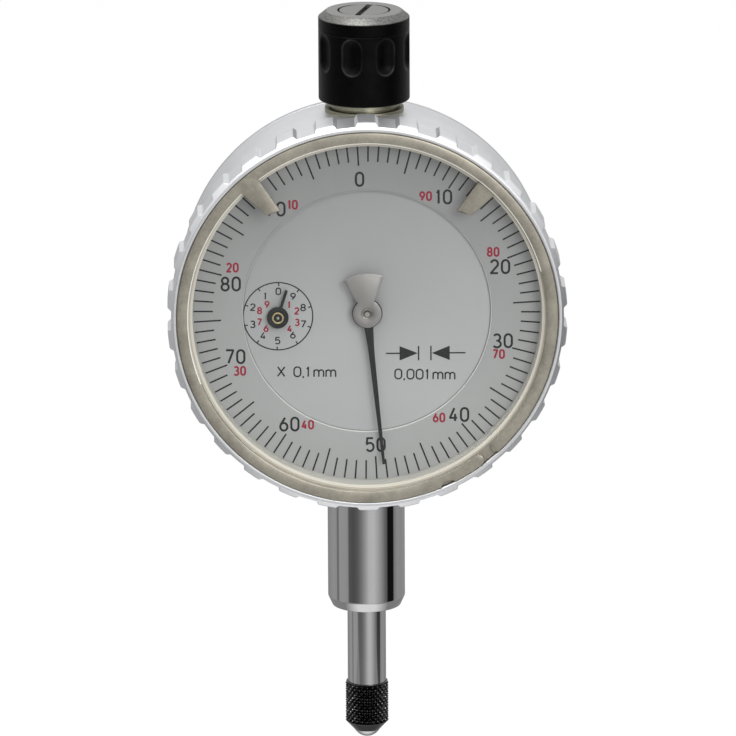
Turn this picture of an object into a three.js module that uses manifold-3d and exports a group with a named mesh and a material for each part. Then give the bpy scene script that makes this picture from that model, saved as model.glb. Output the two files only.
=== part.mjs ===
// A precision dial indicator: a round case on a clamping stem, a sprung plunger with a ball contact,
// a rack and gear train that turn a long pointer and a small counting hand, and a bezel that turns
// the outer scale and carries two sliding tolerance marks.
// Millimetres, +Z up. The stem axis is the Z axis, and the dial faces -Y.
import * as THREE from "three";
import { mergeVertices } from "three/addons/utils/BufferGeometryUtils.js";
import Module from "manifold-3d";

const wasm = await Module();
wasm.setup();

// Fits between neighbours
const seatGap = 0.02; // faces that rest on each other
const fitGap = 0.05; // a fixed piece in its hole, on the radius
const slideGap = 0.04; // the plunger in its bushes, on the radius
const pivotGap = 0.05; // an arbor in its bearing, on the radius
const ringGap = 0.1; // the turning bezel round the case
const overrun = 1; // how far a cutting tool runs past the surface that it opens

// How many flats stand for a full turn
const caseSides = 44;
const bezelSides = 52;
const ringSides = 44;
const barrelSides = 28;
const shaftSides = 20;
const smallSides = 12;
const screwSides = 8;
const wireSides = 5;
const coilSteps = 9; // to a turn
const spiralSteps = 14;
const pocketSteps = 6;
const dimpleSteps = 2;

// The case: a turned cup whose front neck carries the bezel
const caseRadius = 18.9;
const caseWall = 1;
const neckStep = 0.55; // how much smaller the neck is than the case
const neckWall = 0.7;
const coverSeat = 3.75; // stem axis to the inside of the back cover
const coverThickness = 1.1;
const coverChamfer = 0.3;
const lugRadius = 2;
const lugInset = 1.8; // inside of the case wall to the axis of a plate and cover lug
const lugCount = 4;
const lugAngle = 45; // degrees from +X to the first of them

// The stem, the bushes and the plunger, whose heights are counted from the height of the dial centre
const stemRadius = 4;
const stemLength = 15.2; // below the case wall
const stemBore = 2.75;
const stemChamferHeight = 1;
const stemChamferDepth = 0.45;
const spigotRadius = 3; // what passes through the case wall
const spigotReach = 1.5; // how far it reaches inside the wall
const spigotBore = 2.3;
const bushLength = 7;
const bushRecess = 0.2; // lower bush behind the end of the stem
const flangeRadius = 4.1;
const flangeStand = 0.1; // top of the flange above the top of the case
const flangeLipRadius = 3.7;
const flangeLipHeight = 3.5;
const plungerRadius = 2;
const plungerTravel = 1.12;
const plungerReach = 8.2; // below the end of the stem

// The contact point at the plunger's lower end
const contactRadius = 2.28;
const contactGripLength = 3.9;
const contactConeLength = 1.3;
const contactTipRadius = 1.42;
const contactEdge = 0.2;
const contactStudRadius = 1.2;
const contactStudLength = 3.5;
const ballRadius = 1.5;
const ballRise = 0.5; // the contact's lower end to the centre of the ball
const threadGap = 0.06; // round a screw thread, on the radius

// The lifting cap on the plunger's upper end
const capRadius = 4.68;
const capLift = 0.8; // above the flange, with the plunger right down
const capHeight = 9.28;
const capCover = 2.6; // top of the cap to the top of the plunger
const capChamfer = 0.68; // its height
const capChamferWidth = 0.82;
const capBottomEdge = 0.2;
const capWellDepth = 4.05;
const plugRadius = 2.6;
const plugThickness = 1.5;
const plugStudRadius = 1;
const plugStudLength = 3.6;
const plugSlotWidth = 0.62;
const plugSlotDepth = 0.5;
const plugSlotAngle = 75; // degrees from +X towards +Y
const dimpleCount = 8;
const dimpleRadius = 1.6;
const dimpleDepth = 0.5;
const dimpleHeight = 3.95;
const dimpleAngle = 28; // degrees from the front of the cap towards +X
const dimpleDrop = 4.1; // below the top of the cap

// What the plunger carries inside the case
const rackPitch = 0.5;
const rackWidth = 2.2;
const rackTeeth = 11;
const rackTeethAbove = 4; // teeth above the pinion's height with the plunger right down
const rackStandoffShare = 2.5; // sleeve to the pitch line, as a share of the module
const sleeveRadius = 2.5;
const sleeveLength = 7;
const sleeveTop = 2.4;
const stopCollarRadius = 2.8;
const collarThickness = 1;
const springCollarRadius = 3.2;
const shockSpringLength = 4.7;
const shockSpringRadius = 2.4;
const shockWireRadius = 0.14;
const shockTurns = 4;
const forceSpringRadius = 2.75;
const forceWireRadius = 0.18;
const forceTurns = 6;
const guidePinRadius = 0.45;
const guidePinReach = 3.4;

// Along Y from the face of the outer scale. The scale lies this far in front of the stem axis.
const dialDepth = 10.9;
const scaleThickness = 0.4;
const ledgeThickness = 0.58;
const discStep = 0.3; // the fixed disc lies this much deeper than the scale
const discThickness = 0.4;
const plateThickness = 0.9;
const gearRoom = 4.05; // between the front and the middle plate
const bridgeThickness = 0.65;
const bridgeRoom = 2.95; // stem axis to the front of the rear bridge
const jewelShare = 0.8; // depth of a jewel, as a share of its plate's thickness
const counterWheelRoom = 0.8; // behind the counter wheel
const hairWheelRoom = 0.6; // in front of the hairspring wheel
const pointerRoom = 1.35; // scale to crystal
const crystalThickness = 0.6;
const crystalSink = 0.1; // crystal below the seat of the tolerance marks
const markThickness = 0.42;
const markGap = 0.06;
const rimHeight = 0.9; // seat of the marks to the front of the bezel
const rimSlope = 0.45;
const gripDepth = 4;
const skirtLength = 1.2;

// Radii round the dial axis
const skirtWall = 1.15;
const gripStep = 0.8; // how far the lobes stand out from the skirt
const rimBevel = 0.65;
const rimFlatWidth = 0.35;
const markSlack = 0.1; // between the rim and the tolerance marks
const markWidth = 1.1;
const crystalInset = 0.2; // crystal inside the tolerance marks
const ledgeWidth = 1.2;
const scaleWidth = 5.28;
const scaleGap = 0.12; // between the fixed disc and the turning scale
const trimWallTop = 0.15; // trim ring at the crystal
const trimWallFoot = 0.5; // trim ring at the scale
const notchCount = 30;
const notchDepth = 0.4;
const notchWidth = 2.5;
const notchFloor = 1.8;
const notchAngle = 6; // degrees from the top to the first notch
const snapWireRadius = 0.2;
const snapGrooveDepth = 0.3;
const snapGap = 24; // degrees open in the retaining wire

// The tolerance marks: an open ring with a pointed tab
const markGapAngle = 7;
const markTabLength = 3.85;
const markTabShort = 0.6; // how much the far corner of the tab stands back
const markTabRootHalf = 1.03;
const markTabTipHalf = 0.68;
const leftMarkAngle = 40.4; // degrees from the top, each to its side
const rightMarkAngle = 42.2;

// The movement, seen from the front: X to the right, Z up, from the dial centre
const frontPlateGap = 0.9; // to the ledge of the bezel
const midPlateGap = 0.7; // to the case wall
const counterInset = 3.5; // edge of the fixed disc to the counter arbor
const counterZ = -0.5;
const hairAngle = 45;
const wheelThickness = 0.5;
const wheelShake = 0.2;
const rackPinionTeeth = 10;
const rackWheelTeeth = 40;
const counterPinionTeeth = 8;
const counterWheelTeeth = 60;
const centrePinionTeeth = 6;
const hairWheelTeeth = 40;
const toothAddendumShare = 0.72; // of the module
const toothDedendumShare = 1.15;
const toothRootShare = 0.5; // of the tooth pitch, at the root circle
const toothTipShare = 0.2;
const leafRootShare = 0.34; // the same for the leaves of a pinion
const leafTipShare = 0.2;
const pivotRadius = 0.35;
const arborRadius = 0.6;
const arborShake = 0.15; // between an arbor's shoulders and its plates
const jewelRadius = 0.95;
const pillarRadius = 1.2;
const pillarSpigotRadius = 0.8;
const pillarScrewShare = 0.6; // depth of its screw hole, as a share of the room between the plates
const pillarShares = [
  [-0.126, 0.818],
  [0.723, -0.314],
  [-0.409, -0.786],
]; // x and z, as shares of the front plate's radius
const dialFootRadius = 0.5;
const dialFootShares = [
  [0.516, -0.595],
  [-0.516, 0.595],
]; // x and z, as shares of the fixed disc's radius
const hairSpringGap = 1.35; // to the pointer arbor
const hairSpringInner = 1.2;
const hairSpringTurns = 4;
const hairStripWidth = 0.5;
const hairStripThickness = 0.1;
const hairStudRadius = 0.45;
const bridgeEndHalf = 3.2;
const bridgeArmHalf = 1.7;
const bridgeLugReach = 4.2; // inwards from the case wall
const bridgeLugDepth = 2.3;
const bridgeScrewOffset = 1.7;
const bridgeScrewInset = 2.7; // inside the case wall
const bridgeEndGap = 1.4; // bridge to the case wall
const bridgeHeadSink = 0.32;
const bridgeHeadHeight = 0.3;
const guideSlotSpare = 0.35;

// Screws
const screwHeadRadius = 1.25;
const screwHeadHeight = 0.6;
const screwShankRadius = 0.62;
const threadDepth = 2.6;
const coverShankLength = 1.8;
const plateShankLength = 2.4;
const pillarShankLength = 2;
const screwSlotWidth = 0.3;
const screwSlotDepth = 0.25;
const screwSlotAngle = 52; // degrees round the screw

// The pointer and the counting hand
const pointerTipGap = 2; // pointer to the edge of the crystal
const pointerTipHalf = 0.17;
const pointerRootHalf = 0.5;
const handThickness = 0.14;
const pointerRise = 0.7; // scale to the back of the pointer
const fanRadius = 4.25;
const fanHalfAngle = 29;
const fanNeckHalf = 0.85;
const fanHubRadius = 1.5;
const pointerHubRadius = 0.55;
const pointerHubLength = 0.85;
const pointerPinRadius = 0.28;
const pointerPinRise = 1.2;
const pointerAngle = 174.15; // degrees clockwise from the top, with the plunger right down
const smallHandLength = 3;
const smallHandHalf = 0.13;
const smallHubRadius = 1.08;
const smallHubThickness = 0.35;
const smallTubeRadius = 0.6;
const smallTubeBore = 0.38;
const smallTubeLength = 0.7;
const smallHandAngle = 17.4;
const smallHandRise = 0.08;

// Finishes
const finish = (color, metalness, roughness, more = {}) =>
  new THREE.MeshStandardMaterial({ color, metalness, roughness, ...more });
const satinAlloy = finish(0xe6e6ea, 0.6, 0.45);
const coverAlloy = finish(0xdcdce0, 0.6, 0.5);
const groundSteel = finish(0xb9bbbc, 1, 0.22);
const screwSteel = finish(0xa9abad, 1, 0.35);
const nickelBeige = finish(0x979180, 0.5, 0.5);
const trimBeige = finish(0xb9b5a6, 0.4, 0.4);
const blackAnodised = finish(0x151516, 0.3, 0.4);
const blackOxide = finish(0x1b1b1c, 0.6, 0.5);
const dialSilver = finish(0xa8aaa9, 0.35, 0.5);
const handBlack = finish(0x2a2b2c, 0.1, 0.6);
const handSilver = finish(0x9a9a98, 0.8, 0.35);
const brassFinish = finish(0xb38a3e, 0.9, 0.3);
const platedBrass = finish(0xc2b27a, 0.9, 0.35);
const springSteel = finish(0x8d9096, 1, 0.3);
const ruby = finish(0xa01030, 0, 0.15);
const carbide = finish(0xc6c8c9, 1, 0.12);
const clearCrystal = finish(0xf2f5f5, 0, 0.05, { transparent: true, opacity: 0.2 });

// Planes across the dial axis
const scaleFaceY = -dialDepth;
const scaleBackY = scaleFaceY + scaleThickness;
const ledgeFrontY = scaleBackY + seatGap;
const ledgeBackY = ledgeFrontY + ledgeThickness;
const neckFrontY = ledgeBackY + ringGap;
const discFaceY = scaleFaceY + discStep;
const discBackY = discFaceY + discThickness;
const frontPlateY = discBackY + seatGap;
const frontPlateBackY = frontPlateY + plateThickness;
const midPlateY = frontPlateBackY + gearRoom;
const midPlateBackY = midPlateY + plateThickness;
const rackWheelY = midPlateBackY + wheelShake;
const bridgeBackY = bridgeRoom + bridgeThickness;
const crystalBackY = scaleFaceY - pointerRoom;
const crystalFrontY = crystalBackY - crystalThickness;
const markFloorY = crystalFrontY - crystalSink;
const rearMarkY = markFloorY - markGap - markThickness;
const frontMarkY = rearMarkY - markGap - markThickness;
const rimY = markFloorY - rimHeight;
const crestY = rimY + rimSlope;
const gripBackY = crestY + gripDepth;
const skirtBackY = gripBackY + skirtLength;
const shoulderY = skirtBackY + ringGap;
const pointerY = scaleFaceY - pointerRise;
const bearingDepth = plateThickness * jewelShare;
const snapGrooveY = (neckFrontY + shoulderY) / 2;
const snapGrooveHalf = snapWireRadius + fitGap;

// Radii round the dial axis, from the case out to the grip and back in to the disc
const caseInner = caseRadius - caseWall;
const neckRadius = caseRadius - neckStep;
const lugCircle = caseInner - lugInset;
const skirtRadius = neckRadius + ringGap + skirtWall;
const gripRadius = skirtRadius + gripStep;
const rimFlat = gripRadius - rimBevel;
const rimInner = rimFlat - rimFlatWidth;
const markOuter = rimInner - markSlack;
const markInner = markOuter - markWidth;
const crystalRadius = markInner - crystalInset;
const ledgeInner = crystalRadius - ledgeWidth;
const discRadius = crystalRadius - scaleWidth - scaleGap;
const frontPlateRadius = ledgeInner - frontPlateGap;
const midPlateRadius = caseInner - midPlateGap;
const pointerLength = crystalRadius - pointerTipGap;

// Heights and the train's centres
const stemEnd = -(caseRadius + stemLength);
const stemClampDrop = caseRadius + stemLength / 2; // dial centre to the middle of the stem
const plungerEnd = stemEnd - plungerReach;
const flangeTop = caseRadius + flangeStand;
const capBottom = flangeTop + capLift;
const capTop = capBottom + capHeight;
const plungerTop = capTop - capCover;
const counterX = counterInset - discRadius;
const rackPinionPitch = (rackPitch * rackPinionTeeth) / (2 * Math.PI);
const rackModule = rackPitch / Math.PI;
const rackLineX = sleeveRadius + rackStandoffShare * rackModule;
const rackArborX = rackLineX + rackPinionPitch;
const slowModule = (2 * (rackArborX - counterX)) / (rackWheelTeeth + counterPinionTeeth);
const fastCentres = Math.hypot(counterX, counterZ);
const fastModule = (2 * fastCentres) / (counterWheelTeeth + centrePinionTeeth);
const hairCentres = (fastModule * (hairWheelTeeth + centrePinionTeeth)) / 2;
const hairX = hairCentres * Math.cos(THREE.MathUtils.degToRad(hairAngle));
const hairZ = hairCentres * Math.sin(THREE.MathUtils.degToRad(hairAngle));
const hairSpringOuter = hairCentres - arborRadius - hairSpringGap;
const hairStudX = hairX + hairSpringOuter + hairStripThickness + hairStudRadius + seatGap;
const pillarPlaces = pillarShares.map(([x, z]) => [x * frontPlateRadius, z * frontPlateRadius]);
const dialFootPlaces = dialFootShares.map(([x, z]) => [x * discRadius, z * discRadius]);

// Shapes: turned about the dial axis or the stem axis, or cut from plate
const radians = THREE.MathUtils.degToRad;

function turned(profile, sides) {
  return new THREE.LatheGeometry(
    profile.map(([radius, y]) => new THREE.Vector2(radius, y)),
    sides,
  );
}

function upright(profile, sides) {
  return turned(profile, sides).rotateX(Math.PI / 2);
}

// A ring or disc between two planes; an inner radius of zero gives a disc
function ringProfile(inner, outer, low, high) {
  return [
    [inner, low],
    [outer, low],
    [outer, high],
    [inner, high],
    ...(inner > 0 ? [[inner, low]] : []),
  ];
}

// A round bar along Y, with its axis at x, z
function pin(radius, yFront, yBack, x, z, sides = smallSides) {
  return turned(ringProfile(0, radius, yFront, yBack), sides).translate(x, 0, z);
}

// A flat piece from an outline of [x, z] points, between two planes across Y
function plate(outline, yFront, yBack, holes = []) {
  const points = (line) => line.map(([x, z]) => new THREE.Vector2(x, z));
  const shape = new THREE.Shape(points(outline));
  shape.holes = holes.map((hole) => new THREE.Path(points(hole)));
  return new THREE.ExtrudeGeometry(shape, { depth: yBack - yFront, bevelEnabled: false })
    .rotateX(Math.PI / 2)
    .translate(0, yBack, 0);
}

// Points on an arc about [x, z], by degrees counterclockwise from +X as seen from the front
function arc(radius, from, to, steps, x = 0, z = 0) {
  return Array.from({ length: steps + 1 }, (_, i) => {
    const angle = radians(from + ((to - from) * i) / steps);
    return [x + radius * Math.cos(angle), z + radius * Math.sin(angle)];
  });
}

function circle(radius, sides, x = 0, z = 0) {
  return arc(radius, 0, 360, sides, x, z).slice(0, sides);
}

// Joining and cutting
function solidOf(geometry) {
  const bare = geometry.clone();
  bare.deleteAttribute("normal");
  bare.deleteAttribute("uv");
  const merged = mergeVertices(bare);
  return new wasm.Manifold(
    new wasm.Mesh({
      numProp: 3,
      vertProperties: new Float32Array(merged.attributes.position.array),
      triVerts: new Uint32Array(merged.index.array),
    }),
  );
}

function geometryOf(solid) {
  const mesh = solid.getMesh();
  const geometry = new THREE.BufferGeometry();
  const places = new Float32Array(mesh.vertProperties);
  geometry.setAttribute("position", new THREE.BufferAttribute(places, 3));
  geometry.setIndex(new THREE.BufferAttribute(new Uint32Array(mesh.triVerts), 1));
  geometry.computeVertexNormals();
  return geometry;
}

function joined(...geometries) {
  return geometryOf(geometries.map(solidOf).reduce((whole, next) => whole.add(next)));
}

function without(geometry, ...tools) {
  const solids = tools.map(solidOf);
  return geometryOf(solids.reduce((whole, tool) => whole.subtract(tool), solidOf(geometry)));
}

// The section of a round wire
function wireSection(radius) {
  return new THREE.Shape(circle(radius, wireSides).map(([x, y]) => new THREE.Vector2(x, y)));
}

// A coil spring about the stem axis, from its lower end up
function coil(radius, wire, turns, low, high) {
  class Helix extends THREE.Curve {
    getPoint(t, target = new THREE.Vector3()) {
      const angle = 2 * Math.PI * turns * t;
      const z = low + wire + (high - low - 2 * wire) * t;
      return target.set(radius * Math.cos(angle), radius * Math.sin(angle), z);
    }
  }
  const steps = turns * coilSteps;
  return new THREE.ExtrudeGeometry(wireSection(wire), { steps, extrudePath: new Helix() });
}

// Gear outlines: a tooth stands at the angle given, in degrees
function gearOutline(teeth, pitchRadius, addendum, dedendum, rootShare, tipShare, angle, x, z) {
  const pitchAngle = (2 * Math.PI) / teeth;
  const points = [];
  for (let tooth = 0; tooth < teeth; tooth += 1) {
    const middle = radians(angle) + tooth * pitchAngle;
    for (const [radius, share] of [
      [pitchRadius - dedendum, -rootShare / 2],
      [pitchRadius + addendum, -tipShare / 2],
      [pitchRadius + addendum, tipShare / 2],
      [pitchRadius - dedendum, rootShare / 2],
    ]) {
      const turn = middle + share * pitchAngle;
      points.push([x + radius * Math.cos(turn), z + radius * Math.sin(turn)]);
    }
  }
  return points;
}

function wheelOutline(teeth, module, angle, x, z) {
  return gearOutline(
    teeth,
    (module * teeth) / 2,
    module * toothAddendumShare,
    module * toothDedendumShare,
    toothRootShare,
    toothTipShare,
    angle,
    x,
    z,
  );
}

function pinionOutline(teeth, module, angle, x, z) {
  return gearOutline(
    teeth,
    (module * teeth) / 2,
    module * toothAddendumShare,
    module * toothDedendumShare,
    leafRootShare,
    leafTipShare,
    angle,
    x,
    z,
  );
}

// The angle of a tooth on a wheel that meshes with a pinion lying in the direction given from the
// wheel's centre, when the pinion has a tooth at pinionAngle
function meshAngle(pinionAngle, pinionTeeth, wheelTeeth, towardsPinion) {
  const fromPinion = towardsPinion + 180;
  const pinionShift = ((pinionAngle - fromPinion) * pinionTeeth) / 360;
  return towardsPinion + ((0.5 - pinionShift) * 360) / wheelTeeth;
}

// A hand that points up: a round hub and a blade that tapers to its tip
function handOutline(hubRadius, rootHalf, tipHalf, length) {
  const root = THREE.MathUtils.radToDeg(Math.asin(rootHalf / hubRadius));
  const tip = [
    [tipHalf, length],
    [-tipHalf, length],
  ];
  return [...arc(hubRadius, 90 + root, 450 - root, smallSides), ...tip];
}

// The object, raised so that the origin is in the middle of the clamping length
const group = new THREE.Group();
group.name = "dial_indicator";
const body = new THREE.Group();
body.position.z = stemClampDrop;
group.add(body);

function piece(name, geometry, material) {
  const mesh = new THREE.Mesh(geometry, material);
  mesh.name = name;
  body.add(mesh);
}

// A slotted screw along Y whose head's outer face lies at yHead; inward is +1 or -1 along Y
function screw(name, x, z, yHead, inward, shankLength) {
  const neck = screwHeadHeight;
  const end = neck + shankLength;
  const blank = turned(
    [
      [0, 0],
      [screwHeadRadius, 0],
      [screwHeadRadius, neck],
      [screwShankRadius, neck],
      [screwShankRadius, end],
      [0, end],
    ],
    screwSides,
  );
  const slotLength = 2 * (screwHeadRadius + overrun);
  const slot = new THREE.BoxGeometry(slotLength, 2 * screwSlotDepth, screwSlotWidth);
  const made = without(blank, slot.rotateY(radians(screwSlotAngle)));
  if (inward < 0) {
    made.rotateZ(Math.PI);
  }
  made.translate(x, yHead, z);
  piece(name, made, screwSteel);
}

function screwHole(x, z, yFrom, yTo) {
  return pin(screwShankRadius + threadGap, yFrom, yTo, x, z, screwSides);
}

function headHole(x, z, yFrom, yTo) {
  return pin(screwHeadRadius + threadGap, yFrom, yTo, x, z, screwSides);
}

const lugPlaces = Array.from({ length: lugCount }, (_, i) => {
  const angle = radians(lugAngle + (360 / lugCount) * i);
  return [lugCircle * Math.cos(angle), lugCircle * Math.sin(angle)];
});
const bridgeScrewX = caseInner - bridgeScrewInset;
const bridgeScrews = [counterZ - bridgeScrewOffset, counterZ + bridgeScrewOffset];

// Case body
{
  const shell = turned(
    [
      [neckRadius - neckWall, neckFrontY],
      [neckRadius, neckFrontY],
      [neckRadius, shoulderY],
      [caseRadius, shoulderY],
      [caseRadius, coverSeat - seatGap],
      [caseInner, coverSeat - seatGap],
      [caseInner, shoulderY + caseWall],
      [neckRadius - neckWall, shoulderY + caseWall],
      [neckRadius - neckWall, neckFrontY],
    ],
    caseSides,
  );
  const lugFront = midPlateBackY + seatGap;
  const lugs = lugPlaces.map(([x, z]) => pin(lugRadius, lugFront, coverSeat - seatGap, x, z));
  const bridgeLugLength = bridgeLugReach + caseWall / 2;
  const bridgeLug = new THREE.BoxGeometry(bridgeLugLength, bridgeLugDepth, 2 * bridgeEndHalf);
  bridgeLug.translate(
    caseInner + caseWall / 2 - bridgeLugLength / 2,
    bridgeRoom - seatGap - bridgeLugDepth / 2,
    counterZ,
  );
  const grooveFloor = neckRadius - snapGrooveDepth;
  const grooveLow = snapGrooveY - snapGrooveHalf;
  const grooveHigh = snapGrooveY + snapGrooveHalf;
  const groove = turned(
    ringProfile(grooveFloor, neckRadius + overrun, grooveLow, grooveHigh),
    caseSides,
  );
  const spigotHoles = upright(
    ringProfile(0, spigotRadius + fitGap, -caseRadius - overrun, caseRadius + overrun),
    shaftSides,
  );
  const inside = upright(
    ringProfile(0, spigotRadius + overrun, -caseInner + overrun, caseInner - overrun),
    smallSides,
  );
  const wallHoles = without(spigotHoles, inside);
  const cup = without(joined(shell, ...lugs, bridgeLug), groove, wallHoles);
  const threads = lugPlaces.flatMap(([x, z]) => [
    screwHole(x, z, midPlateBackY - overrun, midPlateBackY + threadDepth),
    screwHole(x, z, coverSeat - threadDepth, coverSeat + overrun),
  ]);
  const bridgeThreads = bridgeScrews.map((z) =>
    screwHole(bridgeScrewX, z, bridgeRoom - bridgeLugDepth - overrun, bridgeRoom + overrun),
  );
  piece("case_body", without(cup, ...threads, ...bridgeThreads), satinAlloy);
}

// Back cover and its screws
const coverBackY = coverSeat + coverThickness;
{
  const blank = turned(
    [
      [0, coverSeat],
      [caseRadius, coverSeat],
      [caseRadius, coverBackY - coverChamfer],
      [caseRadius - coverChamfer, coverBackY],
      [0, coverBackY],
    ],
    caseSides,
  );
  const holes = lugPlaces.flatMap(([x, z]) => [
    screwHole(x, z, coverSeat - overrun, coverBackY + overrun),
    headHole(x, z, coverBackY - screwHeadHeight - fitGap, coverBackY + overrun),
  ]);
  piece("back_cover", without(blank, ...holes), coverAlloy);
}
lugPlaces.forEach(([x, z], i) => {
  screw(`cover_screw_${i + 1}`, x, z, coverBackY - fitGap, -1, coverShankLength);
});

// Stem, with its upper end cut to the round of the case
const caseRound = turned(
  ringProfile(0, caseRadius + seatGap, shoulderY - overrun, coverBackY + overrun),
  caseSides,
);
{
  const shank = upright(
    [
      [stemBore, stemEnd],
      [stemRadius - stemChamferDepth, stemEnd],
      [stemRadius, stemEnd + stemChamferHeight],
      [stemRadius, -caseInner],
      [stemBore, -caseInner],
      [stemBore, stemEnd],
    ],
    barrelSides,
  );
  const spigotTop = -caseInner + spigotReach;
  const boreTop = stemEnd + bushRecess + bushLength;
  const spigot = upright(ringProfile(spigotBore, spigotRadius, boreTop + seatGap, spigotTop), shaftSides);
  piece("stem", joined(without(shank, caseRound), spigot), groundSteel);
}

// Lower guide bush
{
  const low = stemEnd + bushRecess;
  const tube = upright(
    ringProfile(plungerRadius + slideGap, stemBore - fitGap, low, low + bushLength),
    shaftSides,
  );
  piece("lower_guide_bush", tube, brassFinish);
}

// Upper guide bush: a flange that sits on the round of the case, a neck and a spigot
{
  const bore = plungerRadius + slideGap;
  const flange = without(
    upright(ringProfile(bore, flangeRadius, caseInner, flangeTop), barrelSides),
    caseRound,
  );
  const neck = upright(
    ringProfile(bore, flangeLipRadius, flangeTop - fitGap, flangeTop + flangeLipHeight),
    barrelSides,
  );
  const spigot = upright(
    ringProfile(bore, spigotRadius, caseInner - spigotReach, flangeTop - fitGap),
    barrelSides,
  );
  piece("upper_guide_bush", joined(flange, neck, spigot), nickelBeige);
}

// Plunger, threaded hollow at both ends
{
  const topHole = plugStudRadius + threadGap;
  const lowHole = contactStudRadius + threadGap;
  const rod = upright(
    [
      [0, plungerEnd + contactStudLength + fitGap],
      [lowHole, plungerEnd + contactStudLength + fitGap],
      [lowHole, plungerEnd],
      [plungerRadius, plungerEnd],
      [plungerRadius, plungerTop],
      [topHole, plungerTop],
      [topHole, plungerTop - plugStudLength],
      [0, plungerTop - plugStudLength],
    ],
    shaftSides,
  );
  piece("plunger", rod, groundSteel);
}

// Contact point: a knurled holder and its ball
const contactTop = plungerEnd - seatGap;
const contactBottom = contactTop - contactGripLength - contactConeLength;
const ballCentre = contactBottom + ballRise;
{
  const pocket = ballRadius + fitGap;
  const mouth = Math.sqrt(pocket ** 2 - ballRise ** 2);
  const pocketEnd = THREE.MathUtils.radToDeg(Math.asin(-ballRise / pocket));
  const pocketArc = arc(pocket, 90, pocketEnd, pocketSteps, 0, ballCentre);
  const holder = upright(
    [
      ...pocketArc,
      [Math.max(contactTipRadius, mouth + fitGap), contactBottom],
      [contactRadius, contactBottom + contactConeLength],
      [contactRadius, contactTop - contactEdge],
      [contactRadius - contactEdge, contactTop],
      [contactStudRadius, contactTop],
      [contactStudRadius, contactTop + contactStudLength - fitGap],
      [0, contactTop + contactStudLength - fitGap],
    ],
    shaftSides,
  );
  piece("contact_holder", holder, blackOxide);
  const ball = new THREE.SphereGeometry(ballRadius, smallSides, screwSides);
  piece("contact_ball", ball.rotateX(Math.PI / 2).translate(0, 0, ballCentre), carbide);
}

// Lifting cap, clamped to the plunger by a slotted plug
const plugSeat = capTop - plugThickness;
{
  const wellTop = capBottom + capWellDepth;
  const well = flangeLipRadius + ringGap + fitGap;
  const grip = plungerRadius + fitGap;
  const stud = plugStudRadius + threadGap;
  const blank = upright(
    [
      [well, capBottom],
      [capRadius - capBottomEdge, capBottom],
      [capRadius, capBottom + capBottomEdge],
      [capRadius, capTop - capChamfer],
      [capRadius - capChamferWidth, capTop],
      [plugRadius + fitGap, capTop],
      [plugRadius + fitGap, plugSeat - seatGap],
      [stud, plugSeat - seatGap],
      [stud, plungerTop + seatGap],
      [grip, plungerTop + seatGap],
      [grip, wellTop],
      [well, wellTop],
      [well, capBottom],
    ],
    barrelSides,
  );
  const dimples = Array.from({ length: dimpleCount }, (_, i) => {
    const angle = radians(dimpleAngle + (360 / dimpleCount) * i);
    const out = capRadius + dimpleRadius - dimpleDepth;
    const chord = Math.sqrt(dimpleRadius ** 2 - (dimpleRadius - dimpleDepth) ** 2);
    const straight = dimpleHeight - 2 * chord;
    const tool = new THREE.CapsuleGeometry(dimpleRadius, straight, dimpleSteps, screwSides);
    tool.rotateX(Math.PI / 2);
    return tool.translate(out * Math.sin(angle), -out * Math.cos(angle), capTop - dimpleDrop);
  });
  piece("lifting_cap", without(blank, ...dimples), blackAnodised);
}
{
  const blank = upright(
    [
      [0, plugSeat - plugStudLength],
      [plugStudRadius, plugSeat - plugStudLength],
      [plugStudRadius, plugSeat],
      [plugRadius, plugSeat],
      [plugRadius, capTop],
      [0, capTop],
    ],
    barrelSides,
  );
  const slot = new THREE.BoxGeometry(2 * plugRadius + overrun, plugSlotWidth, 2 * plugSlotDepth);
  slot.rotateZ(radians(plugSlotAngle)).translate(0, 0, capTop);
  piece("cap_plug", without(blank, slot), blackAnodised);
}

// Rack sleeve, which floats on the plunger between a stop collar and a light spring
const sleeveLow = sleeveTop - sleeveLength;
{
  const tube = upright(ringProfile(plungerRadius + fitGap, sleeveRadius, sleeveLow, sleeveTop), shaftSides);
  const dedendum = rackModule * toothDedendumShare;
  const addendum = rackModule * toothAddendumShare;
  const rootX = rackLineX - dedendum;
  const tipX = rackLineX + addendum;
  const innerX = (plungerRadius + fitGap + sleeveRadius) / 2;
  const rootHalf = (rackPitch * toothRootShare) / 2;
  const tipHalf = (rackPitch * toothTipShare) / 2;
  const highest = counterZ + rackTeethAbove * rackPitch;
  const lowest = highest - (rackTeeth - 1) * rackPitch;
  const outline = [[innerX, lowest - rootHalf]];
  for (let tooth = 0; tooth < rackTeeth; tooth += 1) {
    const middle = lowest + tooth * rackPitch;
    outline.push([rootX, middle - rootHalf]);
    outline.push([tipX, middle - tipHalf]);
    outline.push([tipX, middle + tipHalf]);
    outline.push([rootX, middle + rootHalf]);
  }
  outline.push([innerX, highest + rootHalf]);
  const rack = plate(outline, -rackWidth / 2, rackWidth / 2);
  const clear = upright(
    ringProfile(0, plungerRadius + fitGap, sleeveLow - overrun, sleeveTop + overrun),
    shaftSides,
  );
  piece("rack_sleeve", joined(tube, without(rack, clear)), platedBrass);
}
const stopTop = sleeveLow - fitGap;
const guidePinZ = stopTop - collarThickness / 2;
{
  const blank = upright(
    ringProfile(plungerRadius + fitGap, stopCollarRadius, stopTop - collarThickness, stopTop),
    shaftSides,
  );
  const hole = pin(guidePinRadius + fitGap / 2, 0, stopCollarRadius + overrun, 0, guidePinZ);
  piece("stop_collar", without(blank, hole), springSteel);
  const guide = pin(guidePinRadius, plungerRadius + ringGap, guidePinReach, 0, guidePinZ);
  piece("guide_pin", guide, groundSteel);
}
const springCollarLow = sleeveTop + shockSpringLength;
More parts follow.
